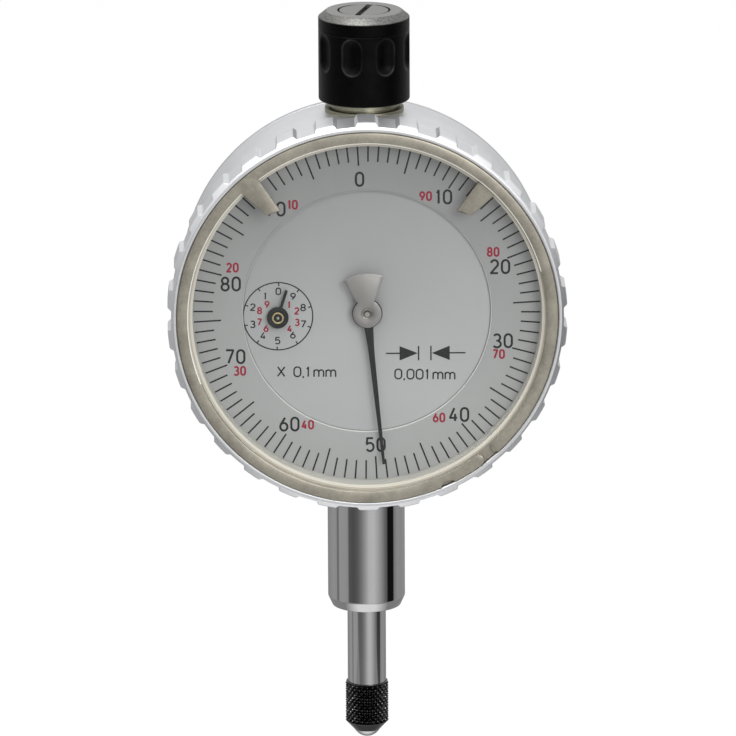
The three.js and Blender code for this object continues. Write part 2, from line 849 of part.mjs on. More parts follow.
const springCollarTop = springCollarLow + collarThickness;
{
  const ring = upright(
    ringProfile(plungerRadius + fitGap, springCollarRadius, springCollarLow, springCollarTop),
    shaftSides,
  );
  piece("spring_collar", ring, springSteel);
  const shockLow = sleeveTop + fitGap;
  const shock = coil(shockSpringRadius, shockWireRadius, shockTurns, shockLow, springCollarLow - fitGap);
  piece("shock_spring", shock, springSteel);
  const forceLow = springCollarTop + fitGap;
  const forceTop = caseInner - spigotReach - fitGap;
  const force = coil(forceSpringRadius, forceWireRadius, forceTurns, forceLow, forceTop);
  piece("measuring_force_spring", force, springSteel);
}

// Bezel: a notched ring that turns on the case neck
const bezelBore = crystalRadius + fitGap;
{
  const bore = neckRadius + ringGap;
  const groove = bore + snapGrooveDepth;
  const blank = turned(
    [
      [bezelBore, markFloorY],
      [rimInner, markFloorY],
      [rimInner, rimY],
      [rimFlat, rimY],
      [gripRadius, crestY],
      [gripRadius, gripBackY],
      [skirtRadius, gripBackY],
      [skirtRadius, skirtBackY],
      [bore, skirtBackY],
      [bore, snapGrooveY + snapGrooveHalf],
      [groove, snapGrooveY + snapGrooveHalf],
      [groove, snapGrooveY - snapGrooveHalf],
      [bore, snapGrooveY - snapGrooveHalf],
      [bore, ledgeBackY],
      [ledgeInner, ledgeBackY],
      [ledgeInner, ledgeFrontY],
      [bezelBore, ledgeFrontY],
      [bezelBore, markFloorY],
    ],
    bezelSides,
  );
  const notchFlare = notchWidth - notchFloor;
  const notches = Array.from({ length: notchCount }, (_, i) => {
    const floor = gripRadius - notchDepth;
    const mouthHalf = notchWidth / 2 + notchFlare / 2;
    const outline = [
      [-notchFloor / 2, floor],
      [notchFloor / 2, floor],
      [mouthHalf, gripRadius + notchDepth],
      [-mouthHalf, gripRadius + notchDepth],
    ];
    const tool = plate(outline, rimY - overrun, gripBackY + overrun);
    return tool.rotateY(radians(notchAngle + (360 / notchCount) * i));
  });
  piece("bezel_ring", without(blank, ...notches), satinAlloy);
}

// Retaining wire in the grooves of neck and bezel, open at the bottom
{
  class OpenRing extends THREE.Curve {
    getPoint(t, target = new THREE.Vector3()) {
      const angle = radians(-90 + snapGap / 2 + (360 - snapGap) * t);
      const radius = neckRadius + ringGap / 2;
      return target.set(radius * Math.cos(angle), snapGrooveY, radius * Math.sin(angle));
    }
  }
  const run = { steps: ringSides, extrudePath: new OpenRing() };
  const wire = new THREE.ExtrudeGeometry(wireSection(snapWireRadius), run);
  piece("bezel_retaining_wire", wire, springSteel);
}

// Crystal, the trim ring behind it and the turning scale
{
  const pane = turned(ringProfile(0, crystalRadius, crystalFrontY, crystalBackY), ringSides);
  piece("crystal", pane, clearCrystal);
  const foot = scaleFaceY - seatGap;
  const top = crystalBackY + seatGap;
  const trim = turned(
    [
      [crystalRadius - trimWallTop, top],
      [crystalRadius, top],
      [crystalRadius, foot],
      [crystalRadius - trimWallFoot, foot],
      [crystalRadius - trimWallTop, top],
    ],
    ringSides,
  );
  piece("trim_ring", trim, trimBeige);
  const scale = ringProfile(discRadius + scaleGap, crystalRadius, scaleFaceY, scaleBackY);
  piece("outer_scale", turned(scale, ringSides), dialSilver);
}

// Tolerance marks: open rings on the front of the bezel, each with a tab over the crystal
function toleranceMark(name, yFront, tabAngle, side) {
  const middle = 90 - tabAngle;
  const opening = markGapAngle / 2;
  const from = middle - 180 + opening;
  const to = middle + 180 - opening;
  const rootHalf = THREE.MathUtils.radToDeg(markTabRootHalf / markInner);
  const tabPoint = (across, inward) => {
    const angle = radians(middle);
    const out = markInner - inward;
    return [
      out * Math.cos(angle) - side * across * Math.sin(angle),
      out * Math.sin(angle) + side * across * Math.cos(angle),
    ];
  };
  const nearSide = tabPoint(markTabTipHalf, markTabLength);
  const farSide = tabPoint(-markTabTipHalf, markTabLength - markTabShort);
  const tip = side > 0 ? [nearSide, farSide] : [farSide, nearSide];
  const half = ringSides / 2;
  const outline = [
    ...arc(markOuter, from, to, ringSides),
    ...arc(markInner, to, middle + rootHalf, half),
    ...tip,
    ...arc(markInner, middle - rootHalf, from, half),
  ];
  piece(name, plate(outline, yFront, yFront + markThickness), nickelBeige);
}
toleranceMark("tolerance_mark_left", frontMarkY, -leftMarkAngle, -1);
toleranceMark("tolerance_mark_right", rearMarkY, rightMarkAngle, 1);

// Fixed dial disc with two feet in the front plate
{
  const feet = dialFootPlaces.map(([x, z]) =>
    pin(dialFootRadius, discBackY - discThickness / 2, frontPlateBackY - fitGap, x, z, screwSides),
  );
  const disc = turned(ringProfile(0, discRadius, discFaceY, discBackY), ringSides);
  const holes = [
    [0, 0],
    [counterX, counterZ],
  ].map(([x, z]) => pin(pointerHubRadius + ringGap, discFaceY - overrun, discBackY + overrun, x, z));
  piece("dial_disc", without(joined(disc, ...feet), ...holes), dialSilver);
}

// Front plate
const pillarScrewSeat = frontPlateY + fitGap;
{
  const blank = turned(ringProfile(0, frontPlateRadius, frontPlateY, frontPlateBackY), ringSides);
  const through = (radius, x, z) => pin(radius, frontPlateY - overrun, frontPlateBackY + overrun, x, z);
  const holes = [
    through(jewelRadius + fitGap, 0, 0),
    through(pivotRadius + pivotGap, counterX, counterZ),
    through(pivotRadius + pivotGap, hairX, hairZ),
    ...dialFootPlaces.map(([x, z]) => through(dialFootRadius + fitGap, x, z)),
    ...pillarPlaces.flatMap(([x, z]) => [
      screwHole(x, z, frontPlateY - overrun, frontPlateBackY + overrun),
      headHole(x, z, frontPlateY - overrun, pillarScrewSeat + screwHeadHeight),
    ]),
  ];
  piece("front_plate", without(blank, ...holes), platedBrass);
}

// Middle plate, screwed to the lugs of the case
{
  const blank = turned(ringProfile(0, midPlateRadius, midPlateY, midPlateBackY), ringSides);
  const through = (radius, x, z) => pin(radius, midPlateY - overrun, midPlateBackY + overrun, x, z);
  const holes = [
    through(jewelRadius + fitGap, 0, 0),
    through(arborRadius + pivotGap, counterX, counterZ),
    through(pivotRadius + pivotGap, rackArborX, counterZ),
    through(pivotRadius + pivotGap, hairX, hairZ),
    through(hairStudRadius + fitGap, hairStudX, hairZ),
    ...pillarPlaces.map(([x, z]) => through(pillarSpigotRadius + fitGap, x, z)),
    ...lugPlaces.map(([x, z]) => screwHole(x, z, midPlateY - overrun, midPlateBackY + overrun)),
  ];
  piece("middle_plate", without(blank, ...holes), platedBrass);
}
lugPlaces.forEach(([x, z], i) => {
  screw(`plate_screw_${i + 1}`, x, z, midPlateY - screwHeadHeight - seatGap, 1, plateShankLength);
});

// Pillars between the two plates, with a screw from the front
pillarPlaces.forEach(([x, z], i) => {
  const front = frontPlateBackY + seatGap;
  const back = midPlateY - seatGap;
  const depth = gearRoom * pillarScrewShare;
  const hole = screwShankRadius + threadGap;
  const profile = [
    [0, front + depth],
    [hole, front + depth],
    [hole, front],
    [pillarRadius, front],
    [pillarRadius, back],
    [pillarSpigotRadius, back],
    [pillarSpigotRadius, midPlateBackY - fitGap],
    [0, midPlateBackY - fitGap],
  ];
  piece(`pillar_${i + 1}`, turned(profile, screwSides).translate(x, 0, z), platedBrass);
  screw(`pillar_screw_${i + 1}`, x, z, pillarScrewSeat, 1, pillarShankLength);
});

// Bearings of the pointer arbor
{
  const ring = (yFront) => {
    const profile = ringProfile(pointerPinRadius + pivotGap, jewelRadius, yFront, yFront + bearingDepth);
    return turned(profile, smallSides);
  };
  piece("centre_jewel_front", ring(frontPlateY + plateThickness - bearingDepth), ruby);
  piece("centre_jewel_rear", ring(midPlateY), ruby);
}

// Rear bridge: carries the rack arbor and guides the pin that keeps the plunger from turning
{
  const outX = caseInner - bridgeEndGap;
  const slotHalf = guidePinRadius + slideGap;
  const slotLow = guidePinZ - guidePinRadius - guideSlotSpare;
  const slotHigh = guidePinZ + plungerTravel + guidePinRadius + guideSlotSpare;
  const left = -bridgeArmHalf - slotHalf;
  const outline = [
    [left, slotLow - bridgeArmHalf],
    [bridgeArmHalf, slotLow - bridgeArmHalf],
    [rackArborX + bridgeArmHalf, counterZ - bridgeArmHalf],
    [bridgeScrewX - bridgeEndHalf, counterZ - bridgeEndHalf],
    [outX, counterZ - bridgeEndHalf],
    [outX, counterZ + bridgeEndHalf],
    [bridgeScrewX - bridgeEndHalf, counterZ + bridgeEndHalf],
    [rackArborX, counterZ + bridgeArmHalf],
    [left, counterZ + bridgeArmHalf],
  ];
  const slot = [
    [-slotHalf, slotLow],
    [slotHalf, slotLow],
    [slotHalf, slotHigh],
    [-slotHalf, slotHigh],
  ];
  const blank = plate(outline, bridgeRoom, bridgeBackY, [slot]);
  const holes = [
    pin(pivotRadius + pivotGap, bridgeRoom - overrun, bridgeBackY + overrun, rackArborX, counterZ),
    ...bridgeScrews.flatMap((z) => [
      screwHole(bridgeScrewX, z, bridgeRoom - overrun, bridgeBackY + overrun),
      headHole(bridgeScrewX, z, bridgeBackY - bridgeHeadSink, bridgeBackY + overrun),
    ]),
  ];
  piece("rear_bridge", without(blank, ...holes), platedBrass);
  const headY = bridgeBackY - bridgeHeadSink + seatGap;
  bridgeScrews.forEach((z, i) => {
    const profile = [
      [0, headY - bridgeLugDepth],
      [screwShankRadius, headY - bridgeLugDepth],
      [screwShankRadius, headY],
      [screwHeadRadius, headY],
      [screwHeadRadius, headY + bridgeHeadHeight],
      [0, headY + bridgeHeadHeight],
    ];
    const flat = turned(profile, screwSides);
    piece(`bridge_screw_${i + 1}`, flat.translate(bridgeScrewX, 0, z), screwSteel);
  });
}

// Rack pinion and its arbor, with the large wheel behind the middle plate
const rackWheelAngle = 180;
{
  const front = midPlateY + fitGap;
  const shoulder = midPlateBackY + arborShake;
  const backShoulder = bridgeRoom - arborShake;
  const profile = [
    [0, front],
    [pivotRadius, front],
    [pivotRadius, shoulder],
    [arborRadius, shoulder],
    [arborRadius, backShoulder],
    [pivotRadius, backShoulder],
    [pivotRadius, bridgeBackY - fitGap],
    [0, bridgeBackY - fitGap],
  ];
  const gapAngle = 180 + 180 / rackPinionTeeth;
  const leaves = pinionOutline(rackPinionTeeth, rackModule, gapAngle, 0, 0);
  const leafHalf = rackWidth / 2 + fitGap;
  const arbor = joined(turned(profile, smallSides), plate(leaves, -leafHalf, leafHalf));
  piece("rack_pinion", arbor.translate(rackArborX, 0, counterZ), groundSteel);
  const outline = wheelOutline(rackWheelTeeth, slowModule, rackWheelAngle, 0, 0);
  const hole = circle(arborRadius + fitGap, smallSides);
  const wheel = plate(outline, rackWheelY, rackWheelY + wheelThickness, [hole]);
  piece("rack_wheel", wheel.translate(rackArborX, 0, counterZ), brassFinish);
}

// Counter arbor: small hand in front, large wheel between the plates, pinion behind
const counterWheelY = midPlateY - wheelThickness - counterWheelRoom;
const towardsCentre = THREE.MathUtils.radToDeg(Math.atan2(-counterZ, -counterX));
const centrePinionAngle = towardsCentre + 180 + 180 / centrePinionTeeth;
{
  const pinionBack = rackWheelY + wheelThickness;
  const profile = [
    [0, discFaceY - smallTubeLength],
    [pointerPinRadius, discFaceY - smallTubeLength],
    [pointerPinRadius, discBackY],
    [pivotRadius, discBackY],
    [pivotRadius, frontPlateBackY + arborShake],
    [arborRadius, frontPlateBackY + arborShake],
    [arborRadius, pinionBack],
    [0, pinionBack],
  ];
  piece("counter_arbor", turned(profile, smallSides).translate(counterX, 0, counterZ), groundSteel);
  const leaves = pinionOutline(counterPinionTeeth, slowModule, 180 / counterPinionTeeth, 0, 0);
  const hole = circle(arborRadius + fitGap, smallSides);
  const pinion = plate(leaves, rackWheelY, pinionBack, [hole]);
  piece("counter_pinion", pinion.translate(counterX, 0, counterZ), groundSteel);
  const outline = wheelOutline(counterWheelTeeth, fastModule, towardsCentre, 0, 0);
  const wheel = plate(outline, counterWheelY, counterWheelY + wheelThickness, [hole]);
  piece("counter_wheel", wheel.translate(counterX, 0, counterZ), brassFinish);
}

// Pointer arbor with its pinion
const hairWheelY = frontPlateBackY + hairWheelRoom;
{
  const pinionFront = hairWheelY - wheelShake;
  const pinionBack = counterWheelY + wheelThickness + wheelShake;
  const core = fastModule * (centrePinionTeeth / 2 - toothDedendumShare) + fitGap;
  const profile = [
    [0, scaleFaceY - pointerPinRise],
    [pointerPinRadius, scaleFaceY - pointerPinRise],
    [pointerPinRadius, frontPlateBackY + arborShake],
    [core, frontPlateBackY + arborShake],
    [core, midPlateY - arborShake],
    [pointerPinRadius, midPlateY - arborShake],
    [pointerPinRadius, midPlateY + bearingDepth],
    [0, midPlateY + bearingDepth],
  ];
  const leaves = pinionOutline(centrePinionTeeth, fastModule, centrePinionAngle, 0, 0);
  const arbor = joined(turned(profile, smallSides), plate(leaves, pinionFront, pinionBack));
  piece("pointer_arbor", arbor, groundSteel);
}

// Hairspring wheel, which takes up the play of the train
{
  const angle = meshAngle(centrePinionAngle, centrePinionTeeth, hairWheelTeeth, hairAngle + 180);
  const hole = circle(arborRadius + fitGap, smallSides);
  const outline = wheelOutline(hairWheelTeeth, fastModule, angle, 0, 0);
  const wheel = plate(outline, hairWheelY, hairWheelY + wheelThickness, [hole]);
  piece("hairspring_wheel", wheel.translate(hairX, 0, hairZ), brassFinish);
  const profile = [
    [0, frontPlateY + fitGap],
    [pivotRadius, frontPlateY + fitGap],
    [pivotRadius, frontPlateBackY + arborShake],
    [arborRadius, frontPlateBackY + arborShake],
    [arborRadius, midPlateY - arborShake],
    [pivotRadius, midPlateY - arborShake],
    [pivotRadius, midPlateBackY - fitGap],
    [0, midPlateBackY - fitGap],
  ];
  piece("hairspring_arbor", turned(profile, smallSides).translate(hairX, 0, hairZ), groundSteel);
}

// Hairspring: a flat spiral held at its outer end by a stud
{
  const steps = hairSpringTurns * spiralSteps;
  const spiralY = hairWheelY + wheelThickness + wheelShake;
  const along = (shift) =>
    Array.from({ length: steps + 1 }, (_, i) => {
      const t = i / steps;
      const radius = hairSpringInner + (hairSpringOuter - hairSpringInner) * t + shift;
      const angle = 2 * Math.PI * hairSpringTurns * t;
      return [hairX + radius * Math.cos(angle), hairZ + radius * Math.sin(angle)];
    });
  const outline = [...along(0), ...along(hairStripThickness).reverse()];
  piece("hairspring", plate(outline, spiralY, spiralY + hairStripWidth), springSteel);
  const stud = pin(hairStudRadius, spiralY, midPlateBackY - fitGap, hairStudX, hairZ, screwSides);
  piece("hairspring_stud", stud, platedBrass);
}

// Pointer: a black blade, a silver counterweight fan and a hub, at its angle round the dial axis
{
  const hole = circle(pointerHubRadius + fitGap / 2, smallSides);
  const eye = pointerHubRadius + pointerRootHalf;
  const blade = handOutline(eye, pointerRootHalf, pointerTipHalf, pointerLength);
  const turn = radians(pointerAngle);
  const bladeFront = pointerY - handThickness;
  piece("pointer_blade", plate(blade, bladeFront, pointerY, [hole]).rotateY(turn), handBlack);
  const neckAngle = THREE.MathUtils.radToDeg(Math.asin(fanNeckHalf / fanHubRadius));
  const fan = [
    ...arc(fanHubRadius, -90 + neckAngle, 270 - neckAngle, smallSides),
    ...arc(fanRadius, 270 - fanHalfAngle, 270 + fanHalfAngle, smallSides),
  ];
  const fanBack = bladeFront - seatGap;
  const weight = plate(fan, fanBack - handThickness, fanBack, [hole]);
  piece("pointer_counterweight", weight.rotateY(turn), handSilver);
  const hubBack = pointerY + (pointerHubLength - 2 * handThickness) / 2;
  const hubFront = hubBack - pointerHubLength;
  const hub = ringProfile(pointerPinRadius + fitGap / 2, pointerHubRadius, hubFront, hubBack);
  piece("pointer_hub", turned(hub, smallSides), handSilver);
}

// Counting hand on the counter arbor, with its brass tube
{
  const handBack = scaleFaceY - smallHandRise;
  const front = handBack - smallHubThickness;
  const outline = handOutline(smallHubRadius, smallHandHalf, smallHandHalf, smallHandLength);
  const hole = circle(smallTubeRadius + fitGap / 2, smallSides);
  const hand = plate(outline, front, handBack, [hole]).rotateY(radians(smallHandAngle));
  piece("counting_hand", hand.translate(counterX, 0, counterZ), handBlack);
  const tubeFront = discFaceY - smallTubeLength;
  const tube = ringProfile(smallTubeBore, smallTubeRadius, tubeFront, tubeFront + smallTubeLength);
  piece("counting_hand_tube", turned(tube, smallSides).translate(counterX, 0, counterZ), brassFinish);
}

export default group;
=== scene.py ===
import math
import bmesh
import bpy
from mathutils import Matrix, Vector


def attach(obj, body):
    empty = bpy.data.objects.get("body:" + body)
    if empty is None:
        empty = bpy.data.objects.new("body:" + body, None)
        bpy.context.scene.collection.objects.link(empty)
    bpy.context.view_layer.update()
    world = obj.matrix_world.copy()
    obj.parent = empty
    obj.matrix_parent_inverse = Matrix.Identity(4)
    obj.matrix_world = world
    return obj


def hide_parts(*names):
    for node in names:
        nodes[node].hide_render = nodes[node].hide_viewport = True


# A precision dial indicator, dressed for rendering. Lengths here are in millimetres from the middle
# of the dial, in line with the stem axis; toFrame turns them into the frame's metres.
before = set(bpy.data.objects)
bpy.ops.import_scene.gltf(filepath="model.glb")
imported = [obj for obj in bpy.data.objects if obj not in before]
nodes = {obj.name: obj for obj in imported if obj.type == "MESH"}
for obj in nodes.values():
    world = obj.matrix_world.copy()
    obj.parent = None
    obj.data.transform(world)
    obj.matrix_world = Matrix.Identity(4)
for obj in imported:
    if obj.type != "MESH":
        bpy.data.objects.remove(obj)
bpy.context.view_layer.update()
dialHeight = 26.5  # of the dial's middle above the middle of the stem
toFrame = Matrix.Scale(0.001, 4) @ Matrix.Translation((0, 0, dialHeight))
scene = bpy.context.scene
print("frame loaded")


# Camera, from the photograph: its angles, and where the middle of the dial's face lies in the picture
cameraView = {
    "down": 14.79,
    "yaw": -1.01,
    "roll": -0.27,
    "distance": 880,
    "pixelsPerMm": 9.8165,
    "dialFace": (0, -10.9, 0),
    "dialPixel": (367.08, 311.61),
    "picture": 736,
    "sensor": 36,
}


def addCamera(v):
    down, yaw, roll = (math.radians(v[k]) for k in ("down", "yaw", "roll"))
    ahead = Vector((-math.sin(yaw) * math.cos(down), math.cos(yaw) * math.cos(down), -math.sin(down)))
    level = Vector((math.cos(yaw), math.sin(yaw), 0))
    top = level.cross(ahead)
    right = level * math.cos(roll) + top * math.sin(roll)
    up = top * math.cos(roll) - level * math.sin(roll)
    half = v["picture"] / 2
    across = (v["dialPixel"][0] - half) / v["pixelsPerMm"]
    rise = (half - v["dialPixel"][1]) / v["pixelsPerMm"]
    place = Vector(v["dialFace"]) - ahead * v["distance"] - right * across - up * rise
    data = bpy.data.cameras.new("photoCamera")
    data.sensor_width = v["sensor"]
    data.lens = v["pixelsPerMm"] * v["distance"] * v["sensor"] / v["picture"]
    data.clip_start = 0.01
    data.clip_end = 20
    camera = bpy.data.objects.new("photoCamera", data)
    scene.collection.objects.link(camera)
    turn = Matrix((right, up, -ahead)).transposed().to_4x4()
    camera.matrix_world = Matrix.Translation((place + Vector((0, 0, dialHeight))) * 0.001) @ turn
    scene.camera = camera


addCamera(cameraView)
scene.view_settings.view_transform = "Standard"
print("camera set")


# Shader maths: a Signal is a socket that takes + - * / ** < >, and a Recipe is a node tree
class Signal:
    def __init__(self, recipe, socket):
        self.recipe = recipe
        self.socket = socket

    def maths(self, operation, first, second):
        return self.recipe.node("Math", {"operation": operation}, {0: first, 1: second})

    def __add__(self, other):
        return self.maths("ADD", self, other)

    def __sub__(self, other):
        return self.maths("SUBTRACT", self, other)

    def __rsub__(self, other):
        return self.maths("SUBTRACT", other, self)

    def __mul__(self, other):
        return self.maths("MULTIPLY", self, other)

    def __truediv__(self, other):
        return self.maths("DIVIDE", self, other)

    def __pow__(self, other):
        return self.maths("POWER", self, other)

    def __gt__(self, other):
        return self.maths("GREATER_THAN", self, other)

    def __lt__(self, other):
        return self.maths("LESS_THAN", self, other)

    __radd__ = __add__
    __rmul__ = __mul__


class Recipe:
    def __init__(self, name, world=False):
        store = bpy.data.worlds if world else bpy.data.materials
        self.owner = store.new(name)
        self.owner.use_nodes = True
        self.tree = self.owner.node_tree
        self.tree.nodes.clear()

    def node(self, kind, settings=None, values=None, out=0):
        made = self.tree.nodes.new("ShaderNode" + kind)
        for key, value in (settings or {}).items():
            if key == "stops":  # of a colour ramp, as (place, brightness)
                ramp = made.color_ramp
                while len(ramp.elements) < len(value):
                    ramp.elements.new(0.5)
                for element, (place, level) in zip(ramp.elements, value):
                    element.position = place
                    element.color = (level, level, level, 1)
            elif key == "interpolation":
                made.color_ramp.interpolation = value
            else:
                setattr(made, key, value)
        for key, value in (values or {}).items():
            if isinstance(value, Signal):
                self.tree.links.new(value.socket, made.inputs[key])
            else:
                made.inputs[key].default_value = value
        return Signal(self, made.outputs[out])

    def blend(self, factor, first, second):
        return self.node("Mix", {"data_type": "RGBA"}, {0: factor, 6: first, 7: second}, out=2)

    def ramp(self, value, stops):
        return self.node("ValToRGB", {"stops": stops}, {0: value})

    def grain(self, size, detail=3, roughness=0.55):
        # noise with a grain of the given size in millimetres
        values = {
            "Vector": self.node("TexCoord", out=3),
            "Scale": 1 / (size * 0.001),
            "Detail": detail,
            "Roughness": roughness,
        }
        return self.node("TexNoise", {}, values)

    def parts(self):
        return self.node("SeparateXYZ", {}, {0: self.node("TexCoord", out=3)})

    def bump(self, height, depth, strength=1.0):
        return self.node("Bump", {}, {"Height": height, "Distance": depth * 0.001, "Strength": strength})

    def finish(self, shader, socket="Surface"):
        kind = "World" if isinstance(self.owner, bpy.types.World) else "Material"
        end = self.tree.nodes.new("ShaderNodeOutput" + kind)
        self.tree.links.new(shader.socket, end.inputs[socket])
        return self.owner


def tone(red, green=None, blue=None):
    # a colour as it reads in a picture, 0 to 255, made linear
    levels = [c / 255 for c in (red, red if green is None else green, red if blue is None else blue)]
    return tuple(c / 12.92 if c <= 0.04045 else ((c + 0.055) / 1.055) ** 2.4 for c in levels) + (1,)


# Metal with a fine finish: cloudy colour and a fine grain, grainSize in millimetres
def metal(name, colour, roughness, grainSize=0.2, vary=0.08, depth=0.004, metallic=1.0):
    r = Recipe(name)
    cloud = r.grain(2.2, 3)
    fine = r.grain(grainSize, 4, 0.6)
    dark = tuple(c * (1 - 2.2 * vary) for c in colour[:3]) + (1,)
    light = tuple(min(1, c * (1 + vary)) for c in colour[:3]) + (1,)
    mixed = cloud * 0.6 + fine * 0.4
    values = {
        "Base Color": r.blend(r.ramp(mixed, [(0.36, 0), (0.64, 1)]), dark, light),
        "Metallic": metallic,
        "Roughness": r.ramp(fine, [(0.2, roughness * 0.8), (0.8, min(1, roughness * 1.2))]),
        "Normal": r.bump(fine, depth),
    }
    return r.finish(r.node("BsdfPrincipled", {}, values))


# Turned metal: rings round an axis, as a lathe leaves them
def turnedMetal(name, colour, roughness, axis, pitch=0.08, depth=0.003, vary=0.05):
    r = Recipe(name)
    split = r.parts()
    x, y, z = (Signal(r, split.socket.node.outputs[i]) for i in range(3))
    if axis == "Z":
        spread = z
    else:
        height = z - dialHeight * 0.001
        spread = (x * x + height * height) ** 0.5
    values = {"W": spread * (1000 / pitch), "Scale": 1, "Detail": 3}
    ring = r.node("TexNoise", {"noise_dimensions": "1D"}, values)
    cloud = r.grain(1.6, 3)
    dark = tuple(c * (1 - 2 * vary) for c in colour[:3]) + (1,)
    values = {
        "Base Color": r.blend(r.ramp(ring * 0.5 + cloud * 0.5, [(0.35, 0), (0.65, 1)]), dark, colour),
        "Metallic": 1.0,
        "Roughness": r.ramp(cloud, [(0.25, roughness * 0.85), (0.75, min(1, roughness * 1.15))]),
        "Normal": r.bump(ring, depth),
    }
    return r.finish(r.node("BsdfPrincipled", {}, values))


# Paint, print and other dull coats
def coat(name, colour, roughness, grainSize=0.12, vary=0.05, depth=0.003, metallic=0.0, paintedShade=0.0):
    # paintedShade is how much painted shade darkens it towards the top of the dial, where the bezel's rim
    # would shade it
    r = Recipe(name)
    fine = r.grain(grainSize, 3)
    cloud = r.grain(3.5, 2)
    low = tuple(c * (1 - vary) for c in colour[:3]) + (1,)
    high = tuple(min(1, c * (1 + vary)) for c in colour[:3]) + (1,)
    even = r.blend(fine * 0.5 + cloud * 0.5, low, high)
    height = Signal(r, r.parts().socket.node.outputs[2])
    rise = r.ramp((height * 1000 - dialHeight) / 36 + 0.5, [(0.25, 0), (0.6, 0.45), (0.95, 1)])
    shaded = r.blend(rise * paintedShade, even, (0, 0, 0, 1)) if paintedShade else even
    values = {
        "Base Color": shaded,
        "Metallic": metallic,
        "Roughness": r.ramp(fine, [(0.2, roughness * 0.85), (0.8, min(1, roughness * 1.15))]),
        "Normal": r.bump(fine, depth),
    }
    return r.finish(r.node("BsdfPrincipled", {}, values))


# Crystal: clear, with the studio's sheen where it is seen edge on
def crystalMaterial():
    r = Recipe("crystalGlass")
    smear = r.grain(4, 3)
    gloss = r.node("BsdfAnisotropic", {}, {"Color": (1, 1, 1, 1), "Roughness": 0.04})
    clear = r.node("BsdfTransparent", {}, {"Color": (0.985, 0.99, 0.99, 1)})
    edge = r.node("Fresnel", {}, {"IOR": 1.45})
    share = edge * r.ramp(smear, [(0.3, 0.4), (0.7, 0.5)])
    return r.finish(r.node("MixShader", {}, {0: share, 1: clear, 2: gloss}))


# The cap's black anodising, worn to grey on its top, on the bevel and round the dimples
def capMaterial(name, v):
    r = Recipe(name)
    split = r.parts()
    x, y, z = (Signal(r, split.socket.node.outputs[i]) for i in range(3))
    mottle = r.grain(0.16, 4, 0.75)
    cloud = r.grain(1.3, 3)
    height = z * 1000 - dialHeight
    top = r.node("Clamp", {}, {0: (height - v["top"] + v["chamfer"]) * 8 + (cloud - 0.5) * 0.8 + 0.3})
    period = math.tau / v["dimples"]
    turn = r.node("Math", {"operation": "ARCTAN2"}, {0: x, 1: y * -1}) - math.radians(v["dimpleTurn"])
    folded = r.node("Math", {"operation": "PINGPONG"}, {0: turn, 1: period / 2})
    rise = r.node("Math", {"operation": "ABSOLUTE"}, {0: height - v["top"] + v["dimpleDrop"]})
    rise = r.node("Math", {"operation": "MAXIMUM"}, {0: rise - v["wearStraight"], 1: 0.0})
    across = folded * v["radius"]
    far = (across * across + rise * rise) ** 0.5
    off = r.node("Math", {"operation": "ABSOLUTE"}, {0: far - v["wearHalf"]})
    rim = r.ramp(off, [(0.02, 1), (0.14, 0)]) * r.ramp(cloud, [(0.35, 0.25), (0.65, 1)])
    grey = r.blend(r.ramp(mottle, [(0.38, 0), (0.62, 1)]), tone(*v["grey"][0]), tone(*v["grey"][1]))
    flat = r.ramp((height - v["top"] + 0.1) * 10, [(0.5, 0), (0.9, 1)])
    grey = r.blend(flat, grey, tone(*v["flat"]))
    black = r.blend(cloud, tone(*v["black"][0]), tone(*v["black"][1]))
    values = {
        "Base Color": r.blend(top, r.blend(rim * 0.6, black, tone(*v["worn"])), grey),
        "Metallic": 1.0,
        "Roughness": 0.42 + (mottle - 0.5) * 0.12,
        "Normal": r.bump(mottle, 0.016),
    }
    return r.finish(r.node("BsdfPrincipled", {}, values))


# The contact's black oxide, rubbed bright on the tips of its knurl
def knurlMaterial(name, v):
    r = Recipe(name)
    split = r.parts()
    x, y = (Signal(r, split.socket.node.outputs[i]) for i in range(2))
    fine = r.grain(0.12, 4, 0.7)
    out = (x * x + y * y) ** 0.5 * 1000 - v["rubbedFrom"]
    tips = r.ramp(out / (v["radius"] - v["rubbedFrom"]) + (fine - 0.5) * 0.5, [(0.35, 0), (0.95, 1)])
    values = {
        "Base Color": r.blend(tips, r.blend(fine, tone(10), tone(52)), tone(*v["rubbed"])),
        "Metallic": 1.0,
        "Roughness": 0.2 + (fine - 0.5) * 0.1,
        "Normal": r.bump(fine, 0.004),
    }
    return r.finish(r.node("BsdfPrincipled", {}, values))


satinAlloy = metal("satinAlloy", tone(226, 227, 229), 0.42, 0.15, vary=0.02, depth=0.002)
coverAlloy = turnedMetal("coverAlloy", tone(206, 207, 211), 0.34, "Y", 0.12, 0.004)
groundSteel = turnedMetal("groundSteel", tone(196, 195, 196), 0.06, "Z", 0.05, 0.0004, 0.02)
arborSteel = turnedMetal("arborSteel", tone(188, 185, 174), 0.25, "Y", 0.05)
screwSteel = metal("screwSteel", tone(178, 180, 182), 0.3, 0.12)
springSteel = metal("springSteel", tone(150, 152, 156), 0.3, 0.1)
markNickel = metal("markNickel", tone(163, 158, 145), 0.4, 0.3, vary=0.1, depth=0.003, metallic=0.7)
# a near-white finish for the marks' inner bevel: a painted highlight
bevelHighlight = metal("bevelHighlight", tone(246, 243, 234), 0.35, 0.2, vary=0.03, depth=0.001, metallic=0.3)
bushNickel = turnedMetal("bushNickel", tone(150, 148, 130), 0.35, "Z", 0.1, 0.003)
trimPaint = coat("trimPaint", tone(198, 196, 187), 0.4, 0.2, 0.03)
ringPaint = coat("ringPaint", tone(208, 204, 191), 0.35, 0.2, 0.05, 0.004)
# these three coats of the dial get darker towards its top: painted shade for the shadow of the bezel's rim
edgeHighlightPaint = coat("edgeHighlightPaint", tone(232, 232, 229), 0.45, 0.1, 0.03, paintedShade=0.6)
scalePaint = coat("scalePaint", tone(182, 182, 181), 0.5, 0.05, 0.015, 0.001, 0.25, 0.24)
discPaint = coat("discPaint", tone(197, 197, 197), 0.5, 0.05, 0.015, 0.001, 0.25, 0.36)
printBlack = coat("printBlack", tone(16, 17, 18), 0.7, 0.1, 0.08)
